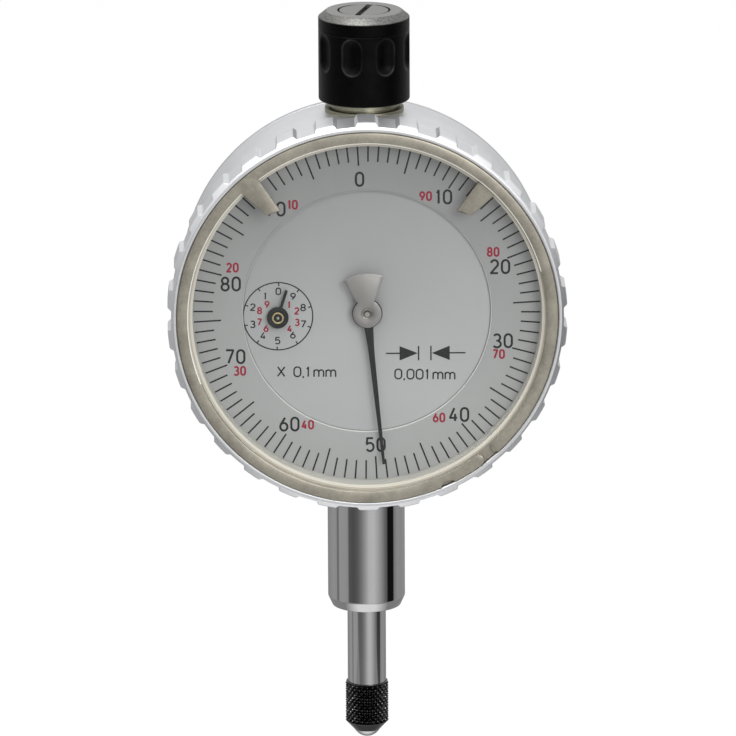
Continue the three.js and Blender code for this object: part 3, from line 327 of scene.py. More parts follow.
printRed = coat("printRed", tone(158, 16, 52), 0.7, 0.1, 0.08)
handBlack = coat("handBlack", tone(20, 20, 20), 0.7, 0.1, 0.03, 0.0006)
handSilver = metal("handSilver", tone(166, 163, 160), 0.36, 0.12, vary=0.04, metallic=0.8)
brassMetal = turnedMetal("brassMetal", tone(220, 204, 152), 0.28, "Y", 0.08)
platedBrass = turnedMetal("platedBrass", tone(202, 186, 132), 0.32, "Y", 0.2, 0.005)
carbideMetal = metal("carbideMetal", tone(205, 207, 208), 0.12, 0.1, vary=0.02, depth=0.0005)
crystalGlass = crystalMaterial()


def rubyMaterial():
    r = Recipe("rubyStone")
    cloud = r.grain(0.6, 2)
    values = {
        "Base Color": r.blend(cloud, tone(150, 14, 40), tone(196, 30, 60)),
        "Roughness": 0.12,
        "Normal": r.bump(cloud, 0.001),
    }
    return r.finish(r.node("BsdfPrincipled", {}, values))


rubyStone = rubyMaterial()
print("materials made")


# Making pieces
def outlineArc(radius, start, end, steps, x=0.0, z=0.0):
    # degrees counterclockwise from +X, seen from the front
    return [
        (x + radius * math.cos(math.radians(a)), z + radius * math.sin(math.radians(a)))
        for a in (start + (end - start) * i / steps for i in range(steps + 1))
    ]


def softened(points, radii, steps=4, closed=True):
    # a polygon with its corners rounded; radii is one number or one for each corner
    made = []
    count = len(points)
    for i, corner in enumerate(points):
        radius = radii[i] if isinstance(radii, (list, tuple)) else radii
        if radius <= 0 or (not closed and i in (0, count - 1)):
            made.append(corner)
            continue
        here = Vector(corner)
        before = Vector(points[i - 1]) - here
        after = Vector(points[(i + 1) % count]) - here
        reach = min(radius, before.length * 0.49, after.length * 0.49)
        start = here + before.normalized() * reach
        end = here + after.normalized() * reach
        for j in range(steps + 1):
            t = j / steps
            made.append(tuple(start * (1 - t) ** 2 + here * (2 * t * (1 - t)) + end * t ** 2))
    return made


def lathe(profile, steps, axis="Y", closed=True, sweep=math.tau):
    # a profile of (radius, along) spun round the dial axis or the stem axis
    whole = sweep == math.tau
    bm = bmesh.new()
    place = (lambda r, a: (r, a, 0)) if axis == "Y" else (lambda r, a: (r, 0, a))
    ring = [bm.verts.new(place(r, a)) for r, a in profile]
    pairs = list(zip(ring, ring[1:] + ring[:1])) if closed else list(zip(ring, ring[1:]))
    edges = [bm.edges.new(pair) for pair in pairs if pair[0] is not pair[1]]
    turnAxis = (0, 1, 0) if axis == "Y" else (0, 0, 1)
    bmesh.ops.spin(
        bm, geom=ring + edges, cent=(0, 0, 0), axis=turnAxis, angle=sweep, steps=steps, use_merge=whole)
    if whole:
        bmesh.ops.remove_doubles(bm, verts=bm.verts, dist=1e-4)
        bmesh.ops.recalc_face_normals(bm, faces=bm.faces)
    return bm


def repeated(bm, count, axis):
    # one sector of a ring made into the whole ring
    mesh = bpy.data.meshes.new("sector")
    bm.to_mesh(mesh)
    bm.clear()
    for _ in range(count):
        bm.from_mesh(mesh)
        mesh.transform(Matrix.Rotation(math.tau / count, 4, axis))
    bpy.data.meshes.remove(mesh)
    bmesh.ops.remove_doubles(bm, verts=bm.verts, dist=1e-4)
    bmesh.ops.recalc_face_normals(bm, faces=bm.faces)
    return bm


def slab(outline, front, back, edge=0.0, holes=()):
    # a flat piece between two planes across Y, with bevelled rims
    bm = bmesh.new()
    rims = []
    for line in [outline, *holes]:
        verts = [bm.verts.new((x, front, z)) for x, z in line]
        rims += [bm.edges.new(pair) for pair in zip(verts, verts[1:] + verts[:1])]
    bmesh.ops.triangle_fill(bm, edges=rims, use_beauty=True, use_dissolve=False)
    made = bmesh.ops.extrude_face_region(bm, geom=list(bm.faces))["geom"]
    far = [v for v in made if isinstance(v, bmesh.types.BMVert)]
    bmesh.ops.translate(bm, verts=far, vec=(0, back - front, 0))
    bmesh.ops.recalc_face_normals(bm, faces=bm.faces)
    if edge > 0:
        sharp = [e for e in bm.edges if len(e.link_faces) == 2 and e.calc_face_angle() > 1.2]
        rim = [e for e in sharp if abs(e.verts[0].co.y - e.verts[1].co.y) < 1e-6]
        bmesh.ops.bevel(bm, geom=rim, offset=edge, affect="EDGES", segments=2, profile=0.5, material=-1)
    return bm


def joinedWith(bm, other):
    mesh = bpy.data.meshes.new("spare")
    other.to_mesh(mesh)
    other.free()
    bm.from_mesh(mesh)
    bpy.data.meshes.remove(mesh)
    return bm


def moved(bm, x=0.0, y=0.0, z=0.0):
    bmesh.ops.translate(bm, verts=bm.verts, vec=(x, y, z))
    return bm


def turnedBy(bm, degrees, axis="Y"):
    turn = Matrix.Rotation(math.radians(degrees), 3, axis)
    bmesh.ops.rotate(bm, verts=bm.verts, cent=(0, 0, 0), matrix=turn)
    return bm


def cut(bm, tool):
    # takes the tool's shape out of a mesh with a Boolean modifier
    pair = []
    for label, shape in (("base", bm), ("tool", tool)):
        mesh = bpy.data.meshes.new(label)
        shape.to_mesh(mesh)
        shape.free()
        thing = bpy.data.objects.new(label, mesh)
        scene.collection.objects.link(thing)
        pair.append(thing)
    base, cutter = pair
    step = base.modifiers.new("cut", "BOOLEAN")
    step.operation = "DIFFERENCE"
    step.solver = "EXACT"
    step.object = cutter
    result = bmesh.new()
    result.from_object(base, bpy.context.evaluated_depsgraph_get())
    for thing in pair:
        mesh = thing.data
        bpy.data.objects.remove(thing)
        bpy.data.meshes.remove(mesh)
    return result


def addPiece(name, bm, material, body, replaced=(), sharp=32):
    mesh = bpy.data.meshes.new(name)
    bm.to_mesh(mesh)
    bm.free()
    mesh.transform(toFrame)
    for one in material if isinstance(material, list) else [material]:
        mesh.materials.append(one)
    mesh.shade_smooth()
    mesh.set_sharp_from_angle(angle=math.radians(sharp))
    thing = bpy.data.objects.new(name, mesh)
    scene.collection.objects.link(thing)
    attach(thing, body)
    if replaced:
        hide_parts(*replaced)
    return thing


# Bezel: turned on a fine spin, then its notches are pressed into the outside
bezel = {
    "crest": 20.36,
    "notchDepth": 0.4,
    "notches": 30,
    "floorHalf": 2.65,  # degrees
    "mouthHalf": 3.45,
    "steps": 48,  # from notch to notch
}


def makeBezel(v):
    corners = [
        ((18.05, -12.95), 0.06), ((19.4, -12.95), 0), ((19.4, -13.75), 0.02), ((19.5, -13.85), 0.03),
        ((19.75, -13.85), 0.05), ((20.35, -13.4), 0.16), ((20.36, -9.4), 0.16), ((19.6, -9.4), 0),
        ((19.6, -8.2), 0.1), ((18.45, -8.2), 0.1), ((18.45, -9.9), 0), ((16.8, -9.9), 0),
        ((16.8, -10.48), 0), ((18.05, -10.48), 0),
    ]
    path = [c for c, _ in corners]
    path = softened(path, [r for _, r in corners], 4)
    filled = []
    for a, b in zip(path, path[1:] + path[:1]):
        filled.append(a)
        length = math.dist(a, b)
        if a[0] > 19.7 and b[0] > 19.7 and length > 0.2:  # more rows where the notches cut the slope
            rows = 7 if length < 1 else 3
            filled += [tuple(Vector(a).lerp(Vector(b), i / rows)) for i in range(1, rows)]
    period = 360 / v["notches"]
    bm = lathe(filled, v["steps"], sweep=math.radians(period))
    for vert in bm.verts:
        radius = math.hypot(vert.co.x, vert.co.z)
        if radius < v["crest"] - v["notchDepth"] or vert.co.y > -9.35:
            continue
        angle = math.degrees(math.atan2(vert.co.x, vert.co.z))
        off = abs((angle + period) % period - period / 2)
        rise = min(1.0, max(0.0, (off - v["floorHalf"]) / (v["mouthHalf"] - v["floorHalf"])))
        limit = v["crest"] - v["notchDepth"] * (1 - rise)
        if radius > limit:
            vert.co.x *= limit / radius
            vert.co.z *= limit / radius
    return repeated(bm, v["notches"], "Y")


addPiece("lobed_bezel", makeBezel(bezel), satinAlloy, "bezel", ["bezel_ring"], 28)
print("bezel made")


# Tolerance marks: open rings with a tab, a rounded gap opposite it and a small notch in the rim
marks = {
    "outer": 19.37,
    "inner": 18.2,
    "thickness": 0.42,
    "gap": 7.0,
    "tabLength": 3.92,
    "tabShort": 0.6,
    "rootHalf": 1.1,
    "tipHalf": 0.68,
    "fillet": 0.4,
    "edge": 0.12,
    # where the painted highlight on the inner bevel stops: its lowest height, and how that line leans
    "highlightDown": -1.0,
    "highlightLean": 0.32,
}


def ringEnd(radius, half, degrees, way):
    # the rounded end of an open ring, from its outer side to its inner one, or back again
    made = []
    for i in range(1, 8):
        t = math.pi * i / 8
        out = radius + way * half * math.cos(t)
        turn = math.radians(degrees) + way * half * math.sin(t) / radius
        made.append((out * math.cos(turn), out * math.sin(turn)))
    return made


def bitten(line, radius, degrees, half, depth):
    # an arc, counterclockwise, with a shallow round bite out of it
    turn = math.radians(degrees)
    outward = Vector((math.cos(turn), math.sin(turn)))
    middle = outward * radius
    first = next(i for i, point in enumerate(line) if (Vector(point) - middle).length < half)
    kept = [point for point in line if (Vector(point) - middle).length >= half]
    sideways = Vector((-outward.y, outward.x))
    bite = []
    for i in range(13):
        t = math.pi * i / 12
        bite.append(tuple(middle - sideways * half * math.cos(t) - outward * depth * math.sin(t)))
    return kept[:first] + bite + kept[first:]


def makeMark(v, front, tabAngle, side, bite=None):
    middle = 90 - tabAngle
    start, end = middle - 180 + v["gap"] / 2, middle + 180 - v["gap"] / 2
    outward = Vector((math.cos(math.radians(middle)), math.sin(math.radians(middle))))
    sideways = Vector((-outward.y, outward.x))
    rootTurn = math.degrees(v["rootHalf"] / v["inner"])
    outer = outlineArc(v["outer"], start, end, 220)
    if bite:
        outer = bitten(outer, v["outer"], 90 - bite["angle"], bite["half"], bite["depth"])
    width, radius = (v["outer"] - v["inner"]) / 2, (v["outer"] + v["inner"]) / 2
    long, short = v["inner"] - v["tabLength"], v["inner"] - v["tabLength"] + v["tabShort"]
    tips = [outward * (long if side > 0 else short) + sideways * v["tipHalf"]]
    tips.append(outward * (short if side > 0 else long) - sideways * v["tipHalf"])
    before = outlineArc(v["inner"], end, middle + rootTurn, 110)
    after = outlineArc(v["inner"], middle - rootTurn, start, 110)
    tab = [before[-2], before[-1], *[tuple(t) for t in tips], after[0], after[1]]
    tab = softened(tab, [0, v["fillet"], 0.08, 0.08, v["fillet"], 0], 5, False)
    line = outer + ringEnd(radius, width, end, 1) + before[:-2] + tab + after[2:]
    line += ringEnd(radius, width, start, -1)
    bm = slab(line, front, front + v["thickness"], v["edge"])
    for side in bm.faces:  # a painted highlight on its inner bevel, reaching further down on the left than on the right
        spot = side.calc_center_median()
        inside = v["inner"] < math.hypot(spot.x, spot.z) < v["inner"] + v["edge"]
        high = spot.z - v["highlightLean"] * spot.x > v["highlightDown"]
        if inside and high and -0.95 < side.normal.y < -0.2:
            side.material_index = 1
    return bm


leftMark = makeMark(marks, -13.91, -40.4, -1, {"angle": 155, "half": 0.72, "depth": 0.4})
markLooks = [markNickel, bevelHighlight]
addPiece("front_mark", leftMark, markLooks, "left_mark", ["tolerance_mark_left"])
rightMark = makeMark(marks, -13.43, 42.2, 1)
addPiece("rear_mark", rightMark, markLooks, "right_mark", ["tolerance_mark_right"])
print("tolerance marks made")


# Crystal, trim ring, turning scale and fixed disc
face = {
    "scaleEdge": 12.64,
    "scaleFront": -10.9,
    "outer": 18,  # of everything that the bezel holds
    "paneFront": -12.85,
    "paneBack": -12.25,
}
outer = face["outer"]
pane = [(0, face["paneFront"]), (outer, face["paneFront"]), (outer, face["paneBack"]), (0, face["paneBack"])]
pane = softened(pane, [0, 0.08, 0.05, 0], 3)
addPiece("clear_pane", lathe(pane, 160), crystalGlass, "bezel", ["crystal"])
paneRing = [
    (18.25, -12.955), (18.25, -12.965), (18.13, -12.965), (18.09, -12.99), (18.01, -12.99), (17.97, -12.96),
    (17.84, -12.96), (17.79, -12.93), (17.79, -12.87), (18.04, -12.87), (18.04, -12.955),
]
addPiece("pane_ring", lathe(paneRing, 240), ringPaint, "bezel")
trimLine = [(17.9, -12.23), (outer, -12.23), (outer, -10.92), (17.74, -10.92), (17.7, -11.5)]
trimLine = softened(trimLine, [0.05, 0, 0, 0.04, 0.5], 5)
addPiece("sloped_trim", lathe(trimLine, 200), trimPaint, "bezel", ["trim_ring"])
inner, front = face["scaleEdge"], face["scaleFront"]
scaleLine = [(inner, front + 0.16), (inner + 0.14, front), (outer, front), (outer, -10.5), (inner, -10.5)]
scaleLine = softened(scaleLine, [0.03, 0.03, 0, 0, 0], 3)
addPiece("turning_scale", lathe(scaleLine, 240), scalePaint, "bezel", ["outer_scale"])
# a thin ring of white paint on the scale's inner bevel: a painted highlight for the light that bevel catches,
# with painted shade towards the top
edgeLine = [(inner - 0.01, -10.7), (inner, front - 0.02), (inner + 0.09, front - 0.02), (inner + 0.11, -10.7)]
edgeLine = softened(edgeLine, [0, 0.03, 0.03, 0], 3)
addPiece("scale_edge_highlight", lathe(edgeLine, 240), edgeHighlightPaint, "bezel")


def makeDisc():
    # the disc has a low rim under the scale
    line = [(0.65, -10.6), (12.6, -10.6), (12.6, -10.44), (13, -10.44), (13, -10.2), (0.65, -10.2)]
    line = softened(line, [0.03, 0.05, 0, 0, 0, 0], 3)
    bm = lathe(line, 240)
    for x, z in ((6.5, -7.5), (-6.5, 7.5)):  # its feet
        foot = lathe([(0, -10.3), (0.5, -10.3), (0.5, -9.33), (0, -9.33)], 16)
        joinedWith(bm, moved(foot, x, 0, z))
    hole = moved(lathe([(0, -11), (0.65, -11), (0.65, -10), (0, -10)], 48), -9.1, 0, -0.5)
    return cut(bm, hole)


addPiece("fixed_disc", makeDisc(), discPaint, "case", ["dial_disc"])
print("crystal, trim and dial made")


# Printing: strokes of ink, 4 micrometres thick, in a plain upright hand
def ellipse(cx, cy, rx, ry, start, end, steps=12):
    return [
        (cx + rx * math.cos(math.radians(a)), cy + ry * math.sin(math.radians(a)))
        for a in (start + (end - start) * i / steps for i in range(steps + 1))
    ]


glyphs = {  # each stroke is (closed, points) in a box of 1 by 1
    "0": [(True, ellipse(0.5, 0.70, 0.5, 0.30, 0, 180) + ellipse(0.5, 0.30, 0.5, 0.30, 180, 360))],
    "1": [(False, [(0.18, 0.78), (0.6, 1.0), (0.6, 0.0)])],
    "2": [(False, ellipse(0.5, 0.72, 0.48, 0.28, 165, -32) + [(0.0, 0.0), (1.0, 0.0)])],
    "3": [(False, ellipse(0.47, 0.75, 0.45, 0.25, 150, -90) + ellipse(0.47, 0.25, 0.53, 0.26, 90, -150))],
    "4": [(False, [(0.62, 1.0), (0.0, 0.25), (1.0, 0.25)]), (False, [(0.72, 0.56), (0.72, 0.0)])],
    "5": [(False, [(0.92, 1.0), (0.12, 1.0), (0.05, 0.53)] + ellipse(0.48, 0.32, 0.52, 0.32, 128, -148))],
    "6": [(True, ellipse(0.5, 0.30, 0.5, 0.30, 0, 350)), (False, [(0.68, 1.0), (0.06, 0.46)])],
    "7": [(False, [(0.0, 1.0), (1.0, 1.0), (0.32, 0.0)])],
    "8": [(True, ellipse(0.5, 0.75, 0.43, 0.25, 0, 345)), (True, ellipse(0.5, 0.26, 0.5, 0.26, 0, 345))],
    "9": [(True, ellipse(0.5, 0.70, 0.5, 0.30, 0, 350)), (False, [(0.32, 0.0), (0.94, 0.54)])],
    "X": [(False, [(0.0, 0.0), (1.0, 1.0)]), (False, [(0.0, 1.0), (1.0, 0.0)])],
    ",": [(False, [(0.3, 0.06), (0.1, -0.16)])],
    "m": [
        (False, [(0.0, 0.0), (0.0, 0.72)]),
        (False, ellipse(0.25, 0.47, 0.25, 0.25, 180, 0) + [(0.5, 0.0)]),
        (False, ellipse(0.75, 0.47, 0.25, 0.25, 180, 0) + [(1.0, 0.0)]),
    ],
}
wide = {"m": 1.36, ",": 0.26, "1": 0.6, "X": 1.05, " ": 0.72, "_": 0.12}  # of the width of a figure


def withCorners(points, closed, near=0.015):
    # two points close to each sharp corner keep the stroke's width on both sides of it
    made = []
    for i, corner in enumerate(points):
        here = Vector(corner)
        back, ahead = Vector(points[i - 1]) - here, Vector(points[(i + 1) % len(points)]) - here
        inner = closed or 0 < i < len(points) - 1
        if inner and min(back.length, ahead.length) > 3 * near and back.angle(ahead) < 2.6:
            made += [tuple(here + back.normalized() * near), corner, tuple(here + ahead.normalized() * near)]
        else:
            made.append(corner)
    return made


def writeStrokes(name, strokes, depthY):
    # strokes: (closed, width, points of x, z); they become one flat mesh of ink
    curve = bpy.data.curves.new(name, "CURVE")
    curve.dimensions = "3D"
    curve.bevel_depth = 1.0
    curve.bevel_resolution = 2
    curve.use_fill_caps = True
    for closed, width, points in strokes:
        line = curve.splines.new("POLY")
        points = withCorners(points, closed)
        line.points.add(len(points) - 1)
        line.use_cyclic_u = closed
        for point, (x, z) in zip(line.points, points):
            point.co = (x, 0, z, 1)
            point.radius = width / 2
    thing = bpy.data.objects.new(name, curve)
    scene.collection.objects.link(thing)
    bpy.context.view_layer.update()
    mesh = bpy.data.meshes.new_from_object(thing.evaluated_get(bpy.context.evaluated_depsgraph_get()))
    flat = bmesh.new()
    flat.from_mesh(mesh)
    bpy.data.objects.remove(thing)
    bpy.data.curves.remove(curve)
    bpy.data.meshes.remove(mesh)
    bmesh.ops.scale(flat, verts=flat.verts, vec=(1, 0.04, 1))
    bmesh.ops.translate(flat, verts=flat.verts, vec=(0, depthY, 0))
    bmesh.ops.recalc_face_normals(flat, faces=flat.faces)
    return flat


def figures(text, x, z, height, width, stroke, advance, turn=0.0):
    # a centred word, whose letters all stand upright on the turned disc
    widths = [width * wide.get(c, 1.0) for c in text]
    gap = advance - width
    total = sum(widths) + gap * (len(text) - 1)
    at = -total / 2
    made = []
    tilt = math.radians(-turn)
    for letter, w in zip(text, widths):
        for closed, points in glyphs.get(letter, []):
            placed = []
            for px, pz in points:
                lx = at + stroke / 2 + px * (w - stroke)
                lz = -height / 2 + stroke / 2 + pz * (height - stroke)
                alongX = lx * math.cos(tilt) - lz * math.sin(tilt)
                alongZ = lx * math.sin(tilt) + lz * math.cos(tilt)
                placed.append((x + alongX, z + alongZ))
            made.append((closed, stroke, placed))
        at += w + gap
    return made


outerPrint = {
    "turn": -3.01,  # degrees clockwise, how the scale is set
    "tickWidth": 0.165,
    "tickOuter": 17.67,
    "tickInner": 15.7,
    "fiveInner": 14.9,
    "tenInner": 15.3,
    "blackSize": (1.59, 0.96, 0.225, 1.13),
    "redSize": (1.05, 0.62, 0.2, 0.68),
    "inkFront": -10.902,
    # where each figure's middle lies with the scale so set
    "black": [(-0.7, 13.87), (7.85, 11.95), (13.55, 4.6), (13.82, -3.2), (9.35, -10.95),
              (0.8, -14.05), (-8.0, -11.8), (-13.47, -4.62), (-13.87, 3.03), (-9.27, 10.83)],
    "red": [None, (6.0, 12.05), (12.85, 6.15), (13.4, -4.6), (7.3, -11.25),
            None, (-6.12, -11.87), (-13.02, -6.12), (-13.68, 4.75), (-7.5, 11.27)],
}


def makeTicks(v):
    bm = bmesh.new()
    for n in range(100):
        inner = v["tenInner"] if n % 10 == 0 else v["fiveInner"] if n % 5 == 0 else v["tickInner"]
        made = bmesh.ops.create_cube(bm, size=1)["verts"]
        length = v["tickOuter"] - inner
        bmesh.ops.scale(bm, verts=made, vec=(v["tickWidth"], 0.006, length))
        bmesh.ops.translate(bm, verts=made, vec=(0, -10.901, inner + length / 2))
        turn = Matrix.Rotation(math.radians(n * 3.6 + v["turn"]), 3, "Y")
        bmesh.ops.rotate(bm, verts=made, cent=(0, 0, 0), matrix=turn)
    return bm


def around(radius, degrees):
    turn = math.radians(degrees)
    return radius * math.sin(turn), radius * math.cos(turn)


def makeScaleFigures(v):
    black, red = [], []
    for n in range(10):
        black += figures(str(n * 10), *v["black"][n], *v["blackSize"])
        if v["red"][n]:
            red += figures(str(100 - n * 10), *v["red"][n], *v["redSize"])
    return black, red


addPiece("scale_ticks", makeTicks(outerPrint), printBlack, "bezel")
blackStrokes, redStrokes = makeScaleFigures(outerPrint)
blackInk = writeStrokes("scaleFigures", blackStrokes, outerPrint["inkFront"])
addPiece("scale_figures", blackInk, printBlack, "bezel")
redInk = writeStrokes("scaleRedFigures", redStrokes, outerPrint["inkFront"])
addPiece("scale_red_figures", redInk, printRed, "bezel")

discPrint = {
    "turn": 1.75,
    "small": (-9.08, -0.48),
    "circle": 3.54,
    "line": 0.13,
    "blackSize": (0.8, 0.59, 0.135, 0.7),
    "black": [(0.06, 2.62), (-1.29, 2.12), (-2.56, 0.98), (-2.58, -0.82), (-1.53, -2.03),
              (-0.05, -2.57), (1.51, -1.98), (2.57, -0.85), (2.57, 0.89), (1.55, 2.07)],
    "redSize": (0.8, 0.54, 0.16, 0.6),
    "red": [None, (1.14, 1.18), (1.92, 0.54), (1.95, -0.66), (1.19, -1.32),
            None, (-1.22, -1.27), (-1.9, -0.6), (-1.87, 0.61), (-1.11, 1.25)],
    "legends": [("X 0,1_mm", -6.19, -6.37), ("0,001_mm", 5.88, -6.74)],
    "legendSize": (1.16, 0.83, 0.155, 0.93),
    "legendTurn": 1.2,
    "arrowHeight": -4.5,
    "arrowHalf": 0.76,
    "arrowLine": 0.15,
    "arrowPlaces": (1.9, 3.3, 5.17, 5.24, 6.5, 6.58, 8.42, 10.03),
}


def makeDiscPrint(v):
    cx, cz = v["small"]
    black, red = [], []
    black.append((True, v["line"], [(cx + x, cz + z) for x, z in outlineArc(v["circle"], 0, 356, 89)]))
    for n in range(10):
        outX, outZ = around(v["circle"], n * 36 + v["turn"])
        inX, inZ = around(v["circle"] - 0.34, n * 36 + v["turn"])
        black.append((False, v["line"], [(cx + outX, cz + outZ), (cx + inX, cz + inZ)]))
        x, z = v["black"][n]
        black += figures(str(n), cx + x, cz + z, *v["blackSize"], turn=v["turn"])
        if v["red"][n]:
            x, z = v["red"][n]
            red += figures(str(n), cx + x, cz + z, *v["redSize"], turn=v["turn"])
    for text, x, z in v["legends"]:
        black += figures(text, x, z, *v["legendSize"], turn=v["legendTurn"])
    z, half = v["arrowHeight"], v["arrowHalf"]
    a = v["arrowPlaces"]
    for x0, x1 in ((a[0], a[1] + 0.2), (a[6] - 0.2, a[7])):
        black.append((False, v["arrowLine"], [(x0, z), (x1, z)]))
    for x in (a[3], a[4]):
        black.append((False, v["arrowLine"], [(x, z - half), (x, z + half)]))
    return black, red


discBlack, discRed = makeDiscPrint(discPrint)
discInk = writeStrokes("discFigures", discBlack, -10.602)
height, half = discPrint["arrowHeight"], discPrint["arrowHalf"]
places = discPrint["arrowPlaces"]
for root, point in ((places[1], places[2]), (places[6], places[5])):
    head = [(root, height - half), (point, height), (root, height + half)]
    joinedWith(discInk, slab(head, -10.605, -10.595))
addPiece("disc_print", discInk, printBlack, "case")
addPiece("disc_red_print", writeStrokes("discRedFigures", discRed, -10.602), printRed, "case")
print("printing made")


# Pointer and counting hand
pointer = {
    "angle": 174.15,
    "length": 16.0,
    "rootHalf": 0.47,
    "waistHalf": 0.31,  # where the flare of the root ends
    "waist": 3.6,
    "tipHalf": 0.14,
    "hub": 1.55,
    "eye": 0.56,
    "fan": 4.25,
    "fanHalf": 29,
    "neckHalf": 0.85,
    "thickness": 0.14,
    "back": -11.6,
}


def makePointer(v):
    hole = outlineArc(v["eye"], 0, 350, 35)
    root = math.degrees(math.asin(v["rootHalf"] / v["hub"]))
    blade = outlineArc(v["hub"], 90 + root, 450 - root, 64)
    waist, tip = v["waistHalf"], v["tipHalf"]
    flare = [(waist, v["waist"]), (tip, v["length"]), (-tip, v["length"]), (-waist, v["waist"])]
    blade = softened([*blade, *flare], [0] * len(blade) + [0.9, 0.06, 0.06, 0.9], 4)
    front = v["back"] - v["thickness"]
    made = turnedBy(slab(blade, front, v["back"], 0.025, [hole]), v["angle"])
    addPiece("black_blade", made, handBlack, "pointer", ["pointer_blade"])
    neck = math.degrees(math.asin(v["neckHalf"] / (v["hub"] - 0.08)))
    fan = outlineArc(v["hub"] - 0.08, -90 + neck, 270 - neck, 64)
    tail = [fan[-1], *outlineArc(v["fan"], 270 - v["fanHalf"], 270 + v["fanHalf"], 40), fan[0]]
    fan += softened(tail, [0, 0.12] + [0] * 39 + [0.12, 0], 3, False)[1:-1]
    fanBack = front - 0.02
    made = turnedBy(slab(fan, fanBack - v["thickness"], fanBack, 0.05, [hole]), v["angle"])
    addPiece("silver_fan", made, handSilver, "pointer", ["pointer_counterweight"])
    hub = [(0.4, -12.0), (0.55, -12.04), (0.55, -11.2), (0.3, -11.2), (0.3, -11.85), (0.4, -11.9)]
    hub = softened(hub, [0.03, 0.05, 0, 0, 0, 0], 3)
    addPiece("pointer_bush", lathe(hub, 48), handSilver, "pointer", ["pointer_hub"])


makePointer(pointer)

smallHand = {
    "angle": 17.4,
    "hub": 1.1,
    "half": 0.14,
    "length": 3.0,
    "x": -9.1,
    "z": -0.5,
    "front": -11.33,
    "back": -10.98,
}


def makeSmallHand(v):
    hole = outlineArc(0.62, 0, 350, 35)
    root = math.degrees(math.asin(v["half"] / v["hub"]))
    line = outlineArc(v["hub"], 90 + root, 450 - root, 64)
    half, length = v["half"], v["length"]
    tip = [(half, 1.4), (half, length), (-half, length), (-half, 1.4)]
    line += softened(tip, [0, 0.05, 0.05, 0], 3)
    hand = turnedBy(slab(line, v["front"], v["back"], 0.05, [hole]), v["angle"])
    moved(hand, v["x"], 0, v["z"])
    addPiece("small_black_hand", hand, handBlack, "counter", ["counting_hand"])
    tube = softened([(0.44, -11.36), (0.6, -11.36), (0.6, -10.62), (0.44, -10.62)], [0.03, 0.03, 0, 0], 3)
    tube = moved(lathe(tube, 48), v["x"], 0, v["z"])
    addPiece("brass_tube", tube, brassMetal, "counter", ["counting_hand_tube"])
    # a black disc down in the tube: painted shade for the dark inside its bore
    shade = lathe([(0, -11.31), (0.43, -11.31), (0.43, -11.29), (0, -11.29)], 32)
    addPiece("bore_shade", moved(shade, v["x"], 0, v["z"]), handBlack, "counter")
    pivot = [(0, -11.35), (0.15, -11.35), (0.15, -11.32), (0, -11.32)]
    pivot = lathe(softened(pivot, [0, 0.02, 0, 0], 3), 24)
    addPiece("bright_pivot", moved(pivot, v["x"], 0, v["z"]), arborSteel, "counter")


makeSmallHand(smallHand)
print("hands made")


# Case, back cover and its screws
case = {"radius": 18.9, "inner": 17.9, "neck": 18.35, "neckInner": 17.65, "lugs": 16.1, "lug": 2.0}


def makeCase(v):
    corners = [
        ((v["neckInner"], -9.8), 0), ((v["neck"], -9.8), 0.1), ((v["neck"], -8.1), 0),
        ((v["radius"], -8.1), 0.15), ((v["radius"], 3.73), 0.1), ((v["inner"], 3.73), 0),
        ((v["inner"], -7.1), 0), ((v["neckInner"], -7.1), 0),
    ]
    bm = lathe(softened([c for c, _ in corners], [r for _, r in corners], 4), 256)
    for n in range(4):
        turn = math.radians(45 + 90 * n)
        lug = lathe([(0, -4.3), (v["lug"], -4.3), (v["lug"], 3.73), (0, 3.73)], 32)
        joinedWith(bm, moved(lug, v["lugs"] * math.cos(turn), 0, v["lugs"] * math.sin(turn)))
    shelf = bmesh.new()
    bmesh.ops.create_cube(shelf, size=1)
    bmesh.ops.scale(shelf, verts=shelf.verts, vec=(4.6, 2.3, 6.4))
    return joinedWith(bm, moved(shelf, 16.0, 1.78, -0.5))


addPiece("round_case", makeCase(case), satinAlloy, "case", ["case_body"])

cover = {
    "inside": 3.75,
    "outside": 4.85,
    "bevel": 0.3,
    "slot": 0.3,
    "slotDepth": 0.25,
}


def makeCover(v, lugs):
    corners = [
        ((0, v["inside"]), 0), ((18.9, v["inside"]), 0.08), ((18.9, v["outside"] - v["bevel"]), 0.1),
        ((18.9 - v["bevel"], v["outside"]), 0.1), ((0, v["outside"]), 0),
    ]
    bm = lathe(softened([c for c, _ in corners], [r for _, r in corners], 4), 256)
    tools = bmesh.new()
    for n in range(4):
        turn = math.radians(45 + 90 * n)
        x, z = lugs * math.cos(turn), lugs * math.sin(turn)
        hole = [(0, 5.2), (1.5, 5.2), (1.38, 4.85), (1.31, 4.75)]
        hole += [(1.31, 4.2), (0.68, 4.2), (0.68, 3.4), (0, 3.4)]
        joinedWith(tools, moved(lathe(hole, 48), x, 0, z))
    addPiece("plain_cover", cut(bm, tools), coverAlloy, "case", ["back_cover"])
    for n in range(4):
        turn = math.radians(45 + 90 * n)
        x, z = lugs * math.cos(turn), lugs * math.sin(turn)
        line = [(0, 4.8), (1.25, 4.8), (1.25, 4.2), (0.62, 4.2), (0.62, 2.4), (0, 2.4)]
        screw = lathe(softened(line, [0, 0.14, 0, 0, 0.1, 0], 4), 48)
        slot = bmesh.new()
        bmesh.ops.create_cube(slot, size=1)
        bmesh.ops.scale(slot, verts=slot.verts, vec=(3, 2 * v["slotDepth"], v["slot"]))
        moved(turnedBy(slot, 52 + 23 * n), 0, 4.8, 0)
        made = moved(cut(screw, slot), x, 0, z)
        addPiece(f"slotted_screw_{n + 1}", made, screwSteel, "case", [f"cover_screw_{n + 1}"])


makeCover(cover, case["lugs"])
print("case and cover made")


# Stem, upper bush, plunger, contact point
shaft = {
    "stem": 4.0,
    "end": -34.1,
    "bore": 2.75,
    "plunger": 2.0,
    "plungerEnd": -42.6,
    "plungerTop": 26.48,
}


